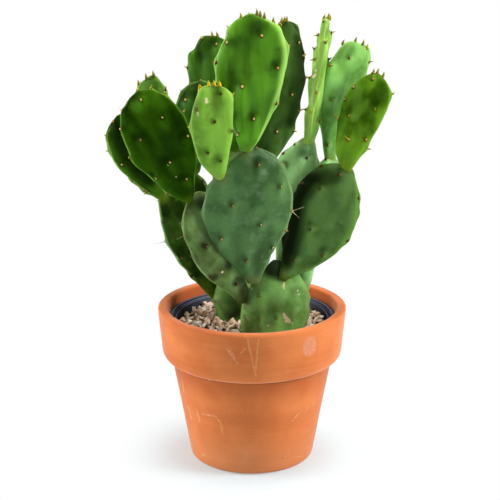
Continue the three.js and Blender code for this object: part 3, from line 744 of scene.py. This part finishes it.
def padFinish(name, look, shift):
    finish = Finish(name)
    rim, halo, joint, lift, scars, stains, blooms = map(
        finish.attribute, ("rim", "halo", "joint", "lift", "scars", "stains", "blooms"))
    local = finish.attribute("local", "Vector")
    wide = finish.cloud(local, 34, detail=3, shift=shift)
    patch = finish.cloud(local, 9, detail=4, rough=0.6, shift=shift + 3)
    stripe = finish.cloud(local, 5, detail=2, stretch=(1, 1, 0.1), shift=shift + 7)
    freckle = finish.cells(local, 2.2, shift)
    grain = finish.cloud(local, 1.2, detail=4, rough=0.7)
    crumbs = finish.cloud(local, 2, detail=4, rough=0.75, shift=shift + 5)
    base, deep, pale, edge, foot = (tone(*look[word]) for word in ("base", "deep", "pale", "rim", "foot"))
    # Darker and lighter copies of the skin, for painted shade and painted light.
    shaded = [share * 0.35 for share in deep[:3]] + [1]
    litTone = [min(1, share * 1.6) for share in base[:3]] + [1]
    dots = finish.smooth(freckle, 0.42, 0.2) * look["speckle"]
    cork = finish.smooth(scars * (crumbs * 2.4 - 0.35), 0.3, 0.6)
    skin = finish.paint(
        base,
        (wide, 0.42, 0.62, 1, deep),
        (patch, 0.45, 0.75, look["bloom"], pale),
        (stripe, 0.5, 0.75, look["streak"], deep),
        (crumbs, 0.4, 0.6, dots * 0.5, pale),
        (grain, 0.5, 0.75, look["speckle"] * 0.35, pale),
        # painted light on the relief: ridges lighter, hollows darker
        (lift, 0.1, 2.2, 0.6, litTone),
        (lift, -0.1, -2, 0.6, shaded),
        # the rim band: paler rim tissue and partly a painted highlight
        (rim, 0, 1, look["edging"], edge),
        # pale spots, partly wax bloom and partly painted highlight
        (blooms + (crumbs - 0.5) * 0.5, 0.2, 0.9, 0.5, pale),
        # painted shade beside each areole
        (halo, 0.1, 1, 0.65, shaded),
        (joint + patch * 0.4, 0.3, 1.2, 0.6, foot),
        # painted shadows at the listed spots, near black where they pile up
        (stains + patch * 0.3, 0.25, 1, 0.85, shaded),
        (stains + patch * 0.2, 0.8, 1.6, 0.85, tone(10, 16, 2)),
        (cork * 0.95, tone(232, 208, 164)))
    normal = finish.bump(grain * 0.35 + patch * 0.5 + cork * 0.8, 0.35, 0.5)
    rough = look["rough"] + (patch - 0.5) * 0.2 + cork * 0.3
    return finish.done(skin, rough, normal, look["gloss"])


def growPads():
    placePads()
    finishes = {}
    for index, pad in enumerate(growth):
        shape = shapePad(pad, Vector([step * index for step in padForm["wander"]]))
        word = pad["look"]
        if word not in finishes:
            look = {**plainSkin, **skins[word]}
            finishes[word] = padFinish(word + "_skin", look, padForm["patternStep"] * len(finishes))
        addPiece(pad["name"] + "_skin", shape, finishes[word], pad["name"])
    print("pads grown:", len(growth))


# Areoles: a brown cushion with a felt tuft and fine bristles. shade runs from cream, 0, to dark brown, 1.
tufts = dict(
    young=dict(shade=0.25, vary=0.15, size=0.88, bristles=8, length=2.0),
    bold=dict(shade=0.3, vary=0.12, size=1.1, bristles=8, length=2.2),
    brown=dict(shade=0.85, vary=0.2, size=0.82, bristles=12, length=2.2),
    dark=dict(shade=0.3, vary=0.4, size=0.74, bristles=18, length=2.6),
    worn=dict(shade=0.5, vary=0.3, size=0.55, bristles=6, length=1.8),
)
cushion = dict(seed=11, size=(1.7, 2.2, 0.9), tuft=(1.2, 1.5, 1.9), tuftUp=0.4, shade=0.9, vary=(0.8, 1.15))
bristle = dict(foot=0.13, point=0.01, tilt=0.55, aside=0.7, lift=0.3, vary=(0.6, 1.2))


# A frame on the skin: z out of it and y towards up, as far as the skin allows.
def standOn(spot, normal, up):
    across = up.cross(normal).normalized()
    along = normal.cross(across)
    turned = Matrix((across, along, normal)).transposed().to_4x4()
    return Matrix.Translation(spot) @ turned


def uprightOn(normal):
    return Vector((0, 0, 1)).rotation_difference(normal).to_matrix().to_4x4()


def addBall(shape, layer, value, place, sizes):
    whole = toMetres @ place @ Matrix.Diagonal((*sizes, 1))
    made = bmesh.ops.create_uvsphere(shape, u_segments=8, v_segments=6, radius=1, matrix=whole)
    for point in made["verts"]:
        point[layer] = value


def growAreoles():
    draw = random.Random(cushion["seed"])
    allFelt, allBristles = newShape("shade"), newShape("shade")
    count = 0
    for pad in growth:
        felt, bristles = newShape("shade"), newShape("shade")
        feltShade, bristleShade = (shape.verts.layers.float["shade"] for shape in (felt, bristles))
        kind = tufts[pad["tuft"]]
        up = pad["matrix"].to_3x3() @ Vector((0.1, 0, 1))
        for spot, normal, _ in pad["areoles"]:
            count += 1
            size = kind["size"] * draw.uniform(*cushion["vary"])
            shade = min(1, max(0, kind["shade"] + draw.uniform(-1, 1) * kind["vary"]))
            base = standOn(spot, normal, up)
            addBall(felt, feltShade, cushion["shade"], base, Vector(cushion["size"]) * size)
            tuft = base @ Matrix.Translation((0, cushion["tuftUp"], 0))
            addBall(felt, feltShade, shade, tuft, Vector(cushion["tuft"]) * size)
            for _ in range(kind["bristles"]):
                tilt = Euler((draw.gauss(0, bristle["tilt"]), draw.gauss(0, bristle["tilt"]), 0))
                length = kind["length"] * draw.uniform(*bristle["vary"])
                aside = bristle["aside"]
                foot = Matrix.Translation((draw.uniform(-aside, aside), draw.uniform(-aside, aside), 0))
                lift = Matrix.Translation((0, 0, length / 2 + bristle["lift"]))
                place = toMetres @ base @ foot @ tilt.to_matrix().to_4x4() @ lift
                made = bmesh.ops.create_cone(bristles, cap_ends=False, segments=3, depth=length,
                                             radius1=bristle["foot"], radius2=bristle["point"], matrix=place)
                for point in made["verts"]:
                    point[bristleShade] = shade
        pour(felt, allFelt)
        pour(bristles, allBristles)
    addPiece("areole_felt", allFelt, feltFinish())
    addPiece("areole_bristles", allBristles, bristleFinish())
    print("areoles:", count)


def feltFinish():
    finish = Finish("areole_felt")
    shade = finish.attribute("shade")
    fluff = finish.cloud(finish.place(), 0.5 * mm, detail=2)
    colour = finish.paint(
        tone(252, 222, 146),
        (shade, 0, 0.5, 1, tone(196, 150, 78)),
        (shade, 0.45, 0.9, 1, tone(70, 42, 18)),
        (fluff, 0.45, 0.7, 0.5, tone(96, 62, 22)))
    return finish.done(colour, 0.95, finish.bump(fluff, 0.3, 1), 0.1)


def bristleFinish():
    finish = Finish("areole_bristle")
    colour = finish.paint(
        tone(206, 156, 76),
        (finish.attribute("shade"), 0.3, 1, 1, tone(104, 46, 20)),
        (finish.cloud(finish.place(), 0.9 * mm, detail=1), 0.4, 0.7, 0.4, tone(60, 28, 14)))
    return finish.done(colour, 0.5)


# Leaf buds on the young pads: soft curved cones, brown at the foot and yellow-green at the point.
leafBud = dict(
    seed=23, radius=2.0, sunk=1.4, least=5.5, most=8.5, bend=0.9, girthPower=0.75, blunt=1.5, tintVary=0.2,
    smallRadius=1.25, smallVary=(0.7, 1.2), smallBend=0.4, fan=0.55, fanShare=0.6, rise=0.5,
)


def addBud(shape, foot, tip, radius, bend, tint):
    share, yellow = (shape.verts.layers.float[word] for word in ("share", "tint"))
    axis = tip - foot
    base = Matrix.Translation(foot) @ uprightOn(axis.normalized())
    made = bmesh.ops.create_uvsphere(shape, u_segments=8, v_segments=8, radius=1)
    for point in made["verts"]:
        climbed = (1 + point.co.z) / 2
        ballGirth = math.sqrt(max(0.0001, 1 - point.co.z ** 2))
        girth = min(radius * (1 - climbed) ** leafBud["girthPower"] / ballGirth, radius * leafBud["blunt"])
        aside = point.co.x * girth + bend * math.sin(math.pi * climbed)
        lift = climbed * (axis.length + leafBud["sunk"]) - leafBud["sunk"]
        point.co = base @ Vector((aside, point.co.y * girth, lift)) * mm
        point[share] = climbed
        point[yellow] = tint


def growBuds():
    draw = random.Random(leafBud["seed"])
    allBuds = newShape("share", "tint")
    count = 0
    for pad in growth:
        shape = newShape("share", "tint")
        matrix = pad["matrix"]
        for pixel in pad["buds"]:
            foot, _, start, ahead = seatUnder(pixel, pad, pad["surface"])
            outward = start + ahead * (foot - start).dot(ahead) - foot
            if outward.length < leafBud["least"]:
                outward = Vector((0, 0, leafBud["least"]))
            if outward.length > leafBud["most"]:
                outward = outward.normalized() * leafBud["most"]
            bend = leafBud["bend"] * draw.uniform(-1, 1)
            tint = pad["yellow"] + draw.uniform(-1, 1) * leafBud["tintVary"]
            addBud(shape, matrix @ foot, matrix @ (foot + outward), leafBud["radius"], bend, tint)
            count += 1
        for spot, normal, onRim in pad["areoles"]:
            for _ in range(pad["leaves"][0 if onRim else 1]):
                fan = Vector([draw.gauss(0, leafBud["fan"]) for _ in range(3)])
                way = normal + Vector((0, 0, leafBud["rise"])) + fan * leafBud["fanShare"]
                tip = spot + way.normalized() * pad["leafLong"] * draw.uniform(*leafBud["smallVary"])
                tint = pad["yellow"] + draw.uniform(-1, 1) * leafBud["tintVary"]
                bend = leafBud["smallBend"] * draw.uniform(-1, 1)
                addBud(shape, spot, tip, leafBud["smallRadius"], bend, tint)
                count += 1
        pour(shape, allBuds)
    addPiece("leaf_buds", allBuds, budFinish())
    print("leaf buds:", count)


def budFinish():
    finish = Finish("leaf_bud")
    share = finish.attribute("share")
    body = finish.paint(tone(126, 124, 20), (finish.attribute("tint"), 0.1, 0.8, 1, tone(236, 196, 20)))
    colour = finish.paint(
        tone(150, 100, 36),
        (share, 0.1, 0.36, 1, body),
        (share, 0.6, 1, 1, tone(186, 160, 50)))
    return finish.done(colour, 0.4 + finish.cloud(finish.place(), 0.8 * mm) * 0.2, None, 0.12)


# The few long spines. foot and point are their radii, sunk how much of them is in the skin and the felt.
spine = dict(foot=0.32, point=0.06, sunk=0.8)


def growSpines():
    shape = bmesh.new()
    for pad in growth:
        for start, end in pad["spines"]:
            foot = pad["matrix"] @ seatUnder(start, pad, pad["surface"])[0]
            origin, ahead = rayThrough(end)
            axis = origin + ahead * (foot - origin).dot(ahead) - foot
            place = toMetres @ Matrix.Translation(foot + axis / 2) @ uprightOn(axis.normalized())
            bmesh.ops.create_cone(shape, cap_ends=True, segments=6, radius1=spine["foot"],
                                  radius2=spine["point"], depth=axis.length + spine["sunk"], matrix=place)
    finish = Finish("spine")
    vary = finish.cloud(finish.place(), 3 * mm)
    colour = finish.paint(tone(226, 206, 170), (vary, 0.4, 0.6, 1, tone(170, 128, 86)))
    addPiece("spines", shape, finish.done(colour, 0.5))
    print("spines set")


# The terracotta pot: a profile spun round Z, its edges rounded by bevels. shadeTop is the height of the
# crease under the collar; a painted shadow darkens the wall towards it from shadeFoot up, with a thin line
# of painted shade in the crease, and the wall pales from paleTop down.
clay = dict(
    profile=[(11, 0), (65.2, 0), (85.3, 111.3), (88.2, 111.5), (93.4, 114.6), (95.6, 120), (100, 167.5),
             (89.5, 167.5), (87.5, 120), (77, 109.3), (59.1, 12), (11, 12)],
    rounds=[((65.2, 0), 5), ((100, 167.5), 2.6), ((89.5, 167.5), 2.2), ((95.6, 120), 3),
            ((85.3, 111.3), 0.4), ((93.4, 114.6), 2.4), ((88.2, 111.5), 1.2), ((87.5, 120), 4),
            ((77, 109.3), 2), ((59.1, 12), 4), ((11, 0), 1), ((11, 12), 1)],
    segments=180, rows=5, bevels=5, wobble=0.22, wobbleSize=38, calmFoot=6,
    shadeTop=111.6, shadeFoot=74, paleTop=60, innerFrom=91, innerTo=88, innerFoot=113, frontFrom=-20,
)


def spun(profile, segments):
    shape = bmesh.new()
    points = [shape.verts.new((radius, 0, height)) for radius, height in profile]
    edges = [shape.edges.new(pair) for pair in zip(points, points[1:] + points[:1])]
    bmesh.ops.spin(shape, geom=points + edges, cent=(0, 0, 0), axis=(0, 0, 1), angle=2 * math.pi,
                   steps=segments, use_merge=True)
    bmesh.ops.remove_doubles(shape, verts=shape.verts, dist=0.01)
    bmesh.ops.recalc_face_normals(shape, faces=shape.faces)
    return shape


# Rounds the edges that lie on a ring of a given radius and height.
def roundRing(shape, ring, size, segments):
    def on(point):
        away = math.hypot(point.co.x, point.co.y) - ring[0], point.co.z - ring[1]
        return max(map(abs, away)) < 0.02
    edges = [edge for edge in shape.edges if all(map(on, edge.verts))]
    bmesh.ops.bevel(shape, geom=edges, offset=size, offset_type="OFFSET", affect="EDGES",
                    segments=segments, profile=0.5, material=-1, clamp_overlap=True)


# Cuts long wall edges, so that relief has points to move.
def cutWalls(shape, longest):
    def steep(edge):
        first, second = (math.atan2(point.co.y, point.co.x) for point in edge.verts)
        return abs(first - second) < 0.001
    for cuts in (7, 3, 1):
        long = [edge for edge in shape.edges if edge.calc_length() > longest * (cuts + 1) and steep(edge)]
        if long:
            bmesh.ops.subdivide_edges(shape, edges=long, cuts=cuts, use_grid_fill=True)


def makeClayPot():
    shape = spun(clay["profile"], clay["segments"])
    for ring, size in clay["rounds"]:
        roundRing(shape, ring, size, clay["bevels"])
    cutWalls(shape, clay["rows"])
    shape.normal_update()
    for point in shape.verts:
        height = smoothstep(0, clay["calmFoot"], point.co.z)
        point.co += point.normal * noise.noise(point.co / clay["wobbleSize"]) * clay["wobble"] * height
    material = clayFinish(BVHTree.FromBMesh(shape))
    shape.transform(toMetres)
    addPiece("clay_pot_wall", shape, material, "terracotta_pot")
    print("clay pot made")


# Marks of use on the clay's front, at the photograph's pixels.
wear = dict(
    scratches=[((227.5, 350), (238, 364)), ((230, 350), (235, 358)), ((241, 353), (245, 349)),
               ((247.4, 338), (256, 376)), ((259, 339), (257.2, 352)), ((257.2, 352), (255.9, 370)),
               ((188, 406), (191.5, 419)), ((197, 410), (199.4, 421)), ((202, 414), (215, 416)),
               ((215, 416), (220.5, 423)), ((220.5, 423), (222.6, 434)), ((298, 414), (292.5, 421)),
               ((296, 457), (303, 456)), ((182, 380), (184, 392))],
    scratchWide=1.5, scratchCore=0.2, chipCore=0.4, pitCore=0.5,
    smudge=(309.6, 346.4), smudgeSize=(7.4, 11.5), smudgeEdge=(1.1, 0.8),
    chips=[((209, 380), 1.5), ((203.6, 455), 3), ((307, 447), 2.2), ((245, 336.5), 1.2), ((285, 335), 1.4),
           ((262, 338), 1), ((292, 352), 1.2), ((246, 371), 1)],
    pits=[((245, 410), 0.7), ((282.4, 458), 0.8), ((233, 376), 0.5), ((300, 395), 0.5)],
)


# Distance from a line between two points, in the plane of x and z, as shader nodes.
def fromLine(finish, x, z, start, end):
    run, rise = end[0] - start[0], end[1] - start[1]
    ahead = (x - start[0]) * run + (z - start[1]) * rise
    settings = {"operation": "DIVIDE", "use_clamp": True}
    share = finish.node("ShaderNodeMath", settings, {0: ahead, 1: run * run + rise * rise})
    across, above = x - start[0] - share * run, z - start[1] - share * rise
    return (across * across + above * above) ** 0.5


# Distance from a point in the same plane, in units of its sizes.
def fromPoint(x, z, spot, sizes=(1, 1)):
    across, above = (x - spot[0]) / sizes[0], (z - spot[1]) / sizes[1]
    return (across * across + above * above) ** 0.5


def wearMasks(finish, x, z, wall):
    def at(pixel):
        hit = wall.ray_cast(*rayThrough(pixel))[0]
        return hit.x, hit.z

    def spots(word, core):
        return sum(finish.smooth(fromPoint(x, z, at(pixel)), size, size * core) for pixel, size in wear[word])

    pale, dark = spots("chips", wear["chipCore"]), spots("pits", wear["pitCore"])
    for ends in wear["scratches"]:
        away = fromLine(finish, x, z, *map(at, ends))
        pale = pale + finish.smooth(away, wear["scratchWide"], wear["scratchCore"])
    smudge = finish.smooth(fromPoint(x, z, at(wear["smudge"]), wear["smudgeSize"]), *wear["smudgeEdge"])
    return pale, dark, smudge


def clayFinish(wall):
    finish = Finish("fired_clay")
    place = finish.place()
    x, y, z = (axis / mm for axis in finish.split(place))
    broad = finish.cloud(place, 45 * mm, detail=3)
    turning = finish.cloud(place, 1.6 * mm, detail=3, stretch=(0.03, 0.03, 1))
    bands = finish.cloud(place, 14 * mm, detail=2, stretch=(0.1, 0.1, 1), shift=4)
    speck = finish.cloud(place, 1.4 * mm, detail=3, rough=0.7)
    sand = finish.cloud(place, 0.5 * mm, detail=2)
    chalk = finish.cloud(place, 16 * mm, detail=5, rough=0.65, shift=9)
    grit = finish.cloud(place, 1.6 * mm, detail=4, rough=0.75, shift=2)
    crease, innerFoot = clay["shadeTop"], clay["innerFoot"]
    # The inner wall, between the radii innerFrom and innerTo and above innerFoot, is painted in shade.
    inside = finish.smooth((x * x + y * y) ** 0.5, clay["innerFrom"], clay["innerTo"])
    inside = inside * finish.smooth(z, innerFoot, innerFoot + 6)
    collarShadow = finish.smooth(z, crease + 1, crease) * (1 - inside)
    creaseShade = finish.smooth(z, crease + 1.2, crease + 0.2) * (1 - inside)
    pale, dark, smudge = wearMasks(finish, x, z, wall)
    front = finish.smooth(y, clay["frontFrom"], clay["frontFrom"] - 10)
    scuffed = finish.smooth(pale, 0, 1) * finish.smooth(grit, 0.42, 0.62) * front
    colour = finish.paint(
        tone(226, 126, 67),
        (broad, 0.35, 0.65, 1, tone(214, 113, 56)),
        (bands, 0.45, 0.75, 0.3, tone(190, 96, 46)),
        (turning, 0.5, 0.7, 0.15, tone(226, 140, 90)),
        (speck, 0.6, 0.8, 0.3, tone(160, 78, 38)),
        # painted shade on the inner wall
        (inside * 0.6, tone(184, 88, 44)),
        (chalk, 0.56, 0.72, 0.14, tone(232, 168, 128)),
        # painted shadow under the collar, and painted shade in the crease
        (z, clay["shadeFoot"], crease, collarShadow * 0.55, tone(164, 70, 22)),
        (z, crease - 3, crease - 0.4, creaseShade * 0.7, tone(104, 40, 14)),
        (z, clay["paleTop"], 6, 0.35, tone(244, 164, 110)),
        (scuffed * 0.5, tone(246, 200, 150)),
        (grit, 0.3, 0.7, smudge * front * 0.6, tone(222, 168, 150)),
        (dark, 0, 1, front * 0.8, tone(96, 44, 22)))
    normal = finish.bump(turning * 0.4 + sand * 0.4 + speck * 0.4 - scuffed * 0.5, 0.35, 0.6)
    sheen = {"Sheen Weight": 0.42, "Sheen Roughness": 0.3}
    return finish.done(colour, 0.86 + sand * 0.1, normal, 0.25, sheen)


# The nursery pot: thin plastic with a rolled lip, and the ledge inside it.
plastic = dict(
    profile=[(0.5, 12.3), (49.5, 12.3), (81.4, 147), (86, 147), (86.4, 157), (84.2, 157), (83.4, 152),
             (82, 152), (81.6, 154), (80.4, 154), (79.4, 148.6), (78.6, 148), (48.4, 14.3), (0.5, 14.3)],
    rounds=[((86.4, 157), 0.9), ((84.2, 157), 0.8), ((81.6, 154), 0.5), ((80.4, 154), 0.5), ((86, 147), 0.4)],
    segments=160, bevels=4, highlightFrom=156.3, highlightTo=156.95,
    ridgeFrom=153.5, ridgeTo=154, ridgeTop=154.2, ridgeEnd=154.8,
)


def makeNurseryPot():
    shape = spun(plastic["profile"], plastic["segments"])
    for ring, size in plastic["rounds"]:
        roundRing(shape, ring, size, plastic["bevels"])
    shape.transform(toMetres)
    finish = Finish("nursery_plastic")
    place = finish.place()
    dust = finish.cloud(place, 12 * mm, detail=4, rough=0.6)
    scuff = finish.cloud(place, 1.2 * mm, detail=3)
    z = finish.split(place)[2] / mm
    # The lighter band on the lip's top edge and on the inner ridge is a painted highlight.
    ridge = finish.smooth(z, plastic["ridgeFrom"], plastic["ridgeTo"])
    ridge = ridge * finish.smooth(z, plastic["ridgeEnd"], plastic["ridgeTop"])
    worn = finish.smooth(z, plastic["highlightFrom"], plastic["highlightTo"]) + ridge
    colour = finish.paint(
        tone(10, 14, 28),
        (dust, 0.5, 0.8, 0.15, tone(60, 70, 92)),
        # painted highlight on the lip and ridge
        (worn * 0.6, tone(116, 132, 160)))
    material = finish.done(colour, 0.36 + scuff * 0.12, finish.bump(scuff, 0.06, 0.3), 0.22)
    addPiece("nursery_pot_wall", shape, material, "nursery_pot")
    print("nursery pot made")


# Potting soil stays as the frame's own solid, with a crumbly finish.
def finishSoil():
    finish = Finish("potting_mix")
    place = finish.place()
    crumbs = finish.cells(place, 3.2 * mm)
    vary = finish.cloud(place, 5 * mm, detail=4)
    colour = finish.paint(tone(44, 32, 22), (vary, 0.4, 0.65, 1, tone(84, 62, 42)))
    soil = frame["nodes"]["potting_soil"]
    soil.data.materials.clear()
    soil.data.materials.append(finish.done(colour, 0.95, finish.bump(crumbs + vary, 1.2, 1)))
    print("soil finished")


# Gravel: angular chips, each the hull of a few seeded points, laid in layers clear of the trunks.
# layers are heights and how far apart chips lie in them; wall is the radius of the nursery pot's inside at
# wallHeight, and wallSlope how fast it widens upwards. From paleFrom down to darkTo the chips are painted
# darker, as painted shade in the gaps between them.
gravel = dict(
    layers=[(144.4, 7.4), (147.2, 7.4), (149.2, 8.6)], spread=80, tries=5200, seed=7, corners=9,
    size=(8.4, 14), flat=(0.35, 0.75), uneven=(0.78, 1.05), slim=0.3, drop=1.8,
    wall=77.5, wallSlope=0.21, wallHeight=147.5, clearOfWall=2.8, clearOfTrunk=3,
    paleFrom=147.8, darkTo=145.2,
)


def addChip(shape, layer, draw, spot):
    size = draw.uniform(*gravel["size"]) / 2
    flat = draw.uniform(*gravel["flat"])
    spin = Euler([draw.uniform(0, 6.28) for _ in range(3)]).to_matrix()
    slim = 1 - gravel["slim"] + gravel["slim"] * flat
    made = []
    for _ in range(gravel["corners"]):
        way = Vector([draw.gauss(0, 1) for _ in range(3)]).normalized() * size
        way *= draw.uniform(*gravel["uneven"])
        way = spin @ Vector((way.x, way.y * slim, way.z * flat))
        made.append(shape.verts.new((spot + way) * mm))
    hull = bmesh.ops.convex_hull(shape, input=made)
    loose = [item for item in hull["geom_interior"] if isinstance(item, bmesh.types.BMVert)]
    bmesh.ops.delete(shape, geom=loose, context="VERTS")
    shade = draw.random()
    for point in made:
        if point.is_valid:
            point[layer] = shade


def nearTrunk(pad, spot, margin):
    inner = pad["matrix"].inverted() @ spot
    near, normal, _, distance = pad["surface"].find_nearest(inner)
    return (inner - near).dot(normal) < 0 or distance < margin


def layGravel():
    draw = random.Random(gravel["seed"])
    shape = newShape("shade")
    trunks = [pad for pad in growth if "at" in pad]
    total = 0
    for height, spacing in gravel["layers"]:
        laid = []
        wall = gravel["wall"] + (height - gravel["wallHeight"]) * gravel["wallSlope"] - gravel["clearOfWall"]
        for _ in range(gravel["tries"]):
            radius = gravel["spread"] * math.sqrt(draw.random())
            angle = draw.uniform(0, 2 * math.pi)
            spot = Vector((radius * math.cos(angle), radius * math.sin(angle), height))
            spot.z += draw.uniform(-0.5, 0.5) * gravel["drop"]
            if radius > wall or any((spot - other).length < spacing for other in laid):
                continue
            if any(nearTrunk(pad, spot, gravel["clearOfTrunk"]) for pad in trunks):
                continue
            laid.append(spot)
            chip = newShape("shade")
            addChip(chip, chip.verts.layers.float["shade"], draw, spot)
            pour(chip, shape)
        total += len(laid)
    addPiece("gravel_chips", shape, gravelFinish(), "gravel_mulch", smooth=False)
    print("gravel chips:", total)


def gravelFinish():
    finish = Finish("gravel_chips")
    place = finish.place()
    pores = finish.cells(place, 1.1 * mm)
    vary = finish.cloud(place, 2.4 * mm, detail=4, rough=0.65)
    hole = finish.smooth(pores, 0.4, 0.2)
    height = finish.split(place)[2] / mm
    tones = [(230, 186, 150), (255, 236, 214), (255, 222, 198), (234, 192, 156), (255, 248, 232)]
    stops = [(index / 4, tone(*shade)) for index, shade in enumerate(tones)]
    colour = finish.paint(
        finish.node("ShaderNodeValToRGB", {"stops": stops}, {0: finish.attribute("shade")}),
        (vary, 0.46, 0.66, 0.25, tone(150, 114, 90)),
        (hole * 0.3, tone(96, 70, 54)),
        # painted shade in the gaps: chips darker lower down
        (height, gravel["paleFrom"], gravel["darkTo"], 0.85, tone(44, 28, 18)))
    return finish.done(colour, 0.92, finish.bump(vary * 0.8 - hole * 0.6, 0.6, 0.9))


# Studio: a white floor, soft boxes at both sides and above, and weak light from all round except where
# the camera stands. The floor's sizes and the radii where it turns white are in metres. Each box has its
# place, the length of its sides and its power in watts.
studio = dict(floorSize=5, floorDrop=0.2, side=0.13, front=0.055, coneInner=0.9, coneOuter=0.45,
              aim=(0, 0, 260), floorTone=(0.78, 0.94, 1, 1), whiteFrom=0.07, whiteTo=0.16, whiteLeast=0.4)
softBoxes = dict(
    right=dict(place=(1190, -300, 820), size=560, power=17.8),
    left=dict(place=(-1240, 20, 420), size=700, power=14),
    above=dict(place=(60, 60, 1700), size=900, power=22),
)


def addSoftBox(name, box):
    data = bpy.data.lights.new(name, "AREA")
    data.shape = "SQUARE"
    data.size = box["size"] * mm
    data.energy = box["power"]
    light = bpy.data.objects.new(name, data)
    light.location = Vector(box["place"]) * mm
    toward = (Vector(studio["aim"]) - Vector(box["place"])).normalized()
    light.rotation_euler = toward.to_track_quat("-Z", "Y").to_euler()
    scene.collection.objects.link(light)


# The floor takes shadows near the pot and runs out to plain white. To the camera it also glows white, as
# painted light: a share whiteLeast of the glow near the pot, lifting its shadows there, and all of it past
# whiteTo. Its blue-green floorTone offsets the warm light that the clay throws on it.
def floorFinish():
    finish = Finish("floor_white")
    x, y, _ = finish.split(finish.place())
    away = (x * x + y * y) ** 0.5
    share = finish.smooth(away, studio["whiteFrom"], studio["whiteTo"], studio["whiteLeast"], 1)
    seen = finish.node("ShaderNodeLightPath", out="Is Camera Ray")
    matt = {"Base Color": studio["floorTone"], "Roughness": 0.9, "Specular IOR Level": 0.1}
    lit = finish.node("ShaderNodeBsdfPrincipled", None, matt)
    white = finish.node("ShaderNodeEmission", None, {"Color": (1, 1, 1, 1), "Strength": 1})
    both = finish.node("ShaderNodeMixShader", None, {0: share * seen, 1: lit, 2: white})
    finish.node("ShaderNodeOutputMaterial", None, {"Surface": both})
    return finish.material


def makeStudio():
    shape = bmesh.new()
    bmesh.ops.create_grid(shape, x_segments=1, y_segments=1, size=studio["floorSize"],
                          matrix=Matrix.Translation((0, 0, -studio["floorDrop"] * mm)))
    addObject("floor", shape, floorFinish(), smooth=False)
    for word, box in softBoxes.items():
        addSoftBox("soft_box_" + word, box)
    world = bpy.data.worlds.new("studio_light")
    world.use_nodes = True
    scene.world = world
    light = Finish("studio_light", world.node_tree)
    _, y, _ = light.split(light.node("ShaderNodeTexCoord", out="Generated"))
    facing = light.smooth(0 - y, studio["coneOuter"], studio["coneInner"])
    power = studio["side"] + facing * (studio["front"] - studio["side"])
    glow = light.node("ShaderNodeBackground", None, {"Color": (1, 1, 1, 1), "Strength": power})
    plain = light.node("ShaderNodeBackground", None, {"Color": (1, 1, 1, 1), "Strength": 1})
    seen = light.node("ShaderNodeLightPath", out="Is Camera Ray")
    both = light.node("ShaderNodeMixShader", None, {0: seen, 1: glow, 2: plain})
    light.node("ShaderNodeOutputWorld", None, {"Surface": both})
    scene.view_settings.view_transform = "Standard"
    print("studio lit")


makeCamera()
makeStudio()
growPads()
growAreoles()
growBuds()
growSpines()
makeClayPot()
makeNurseryPot()
finishSoil()
layGravel()
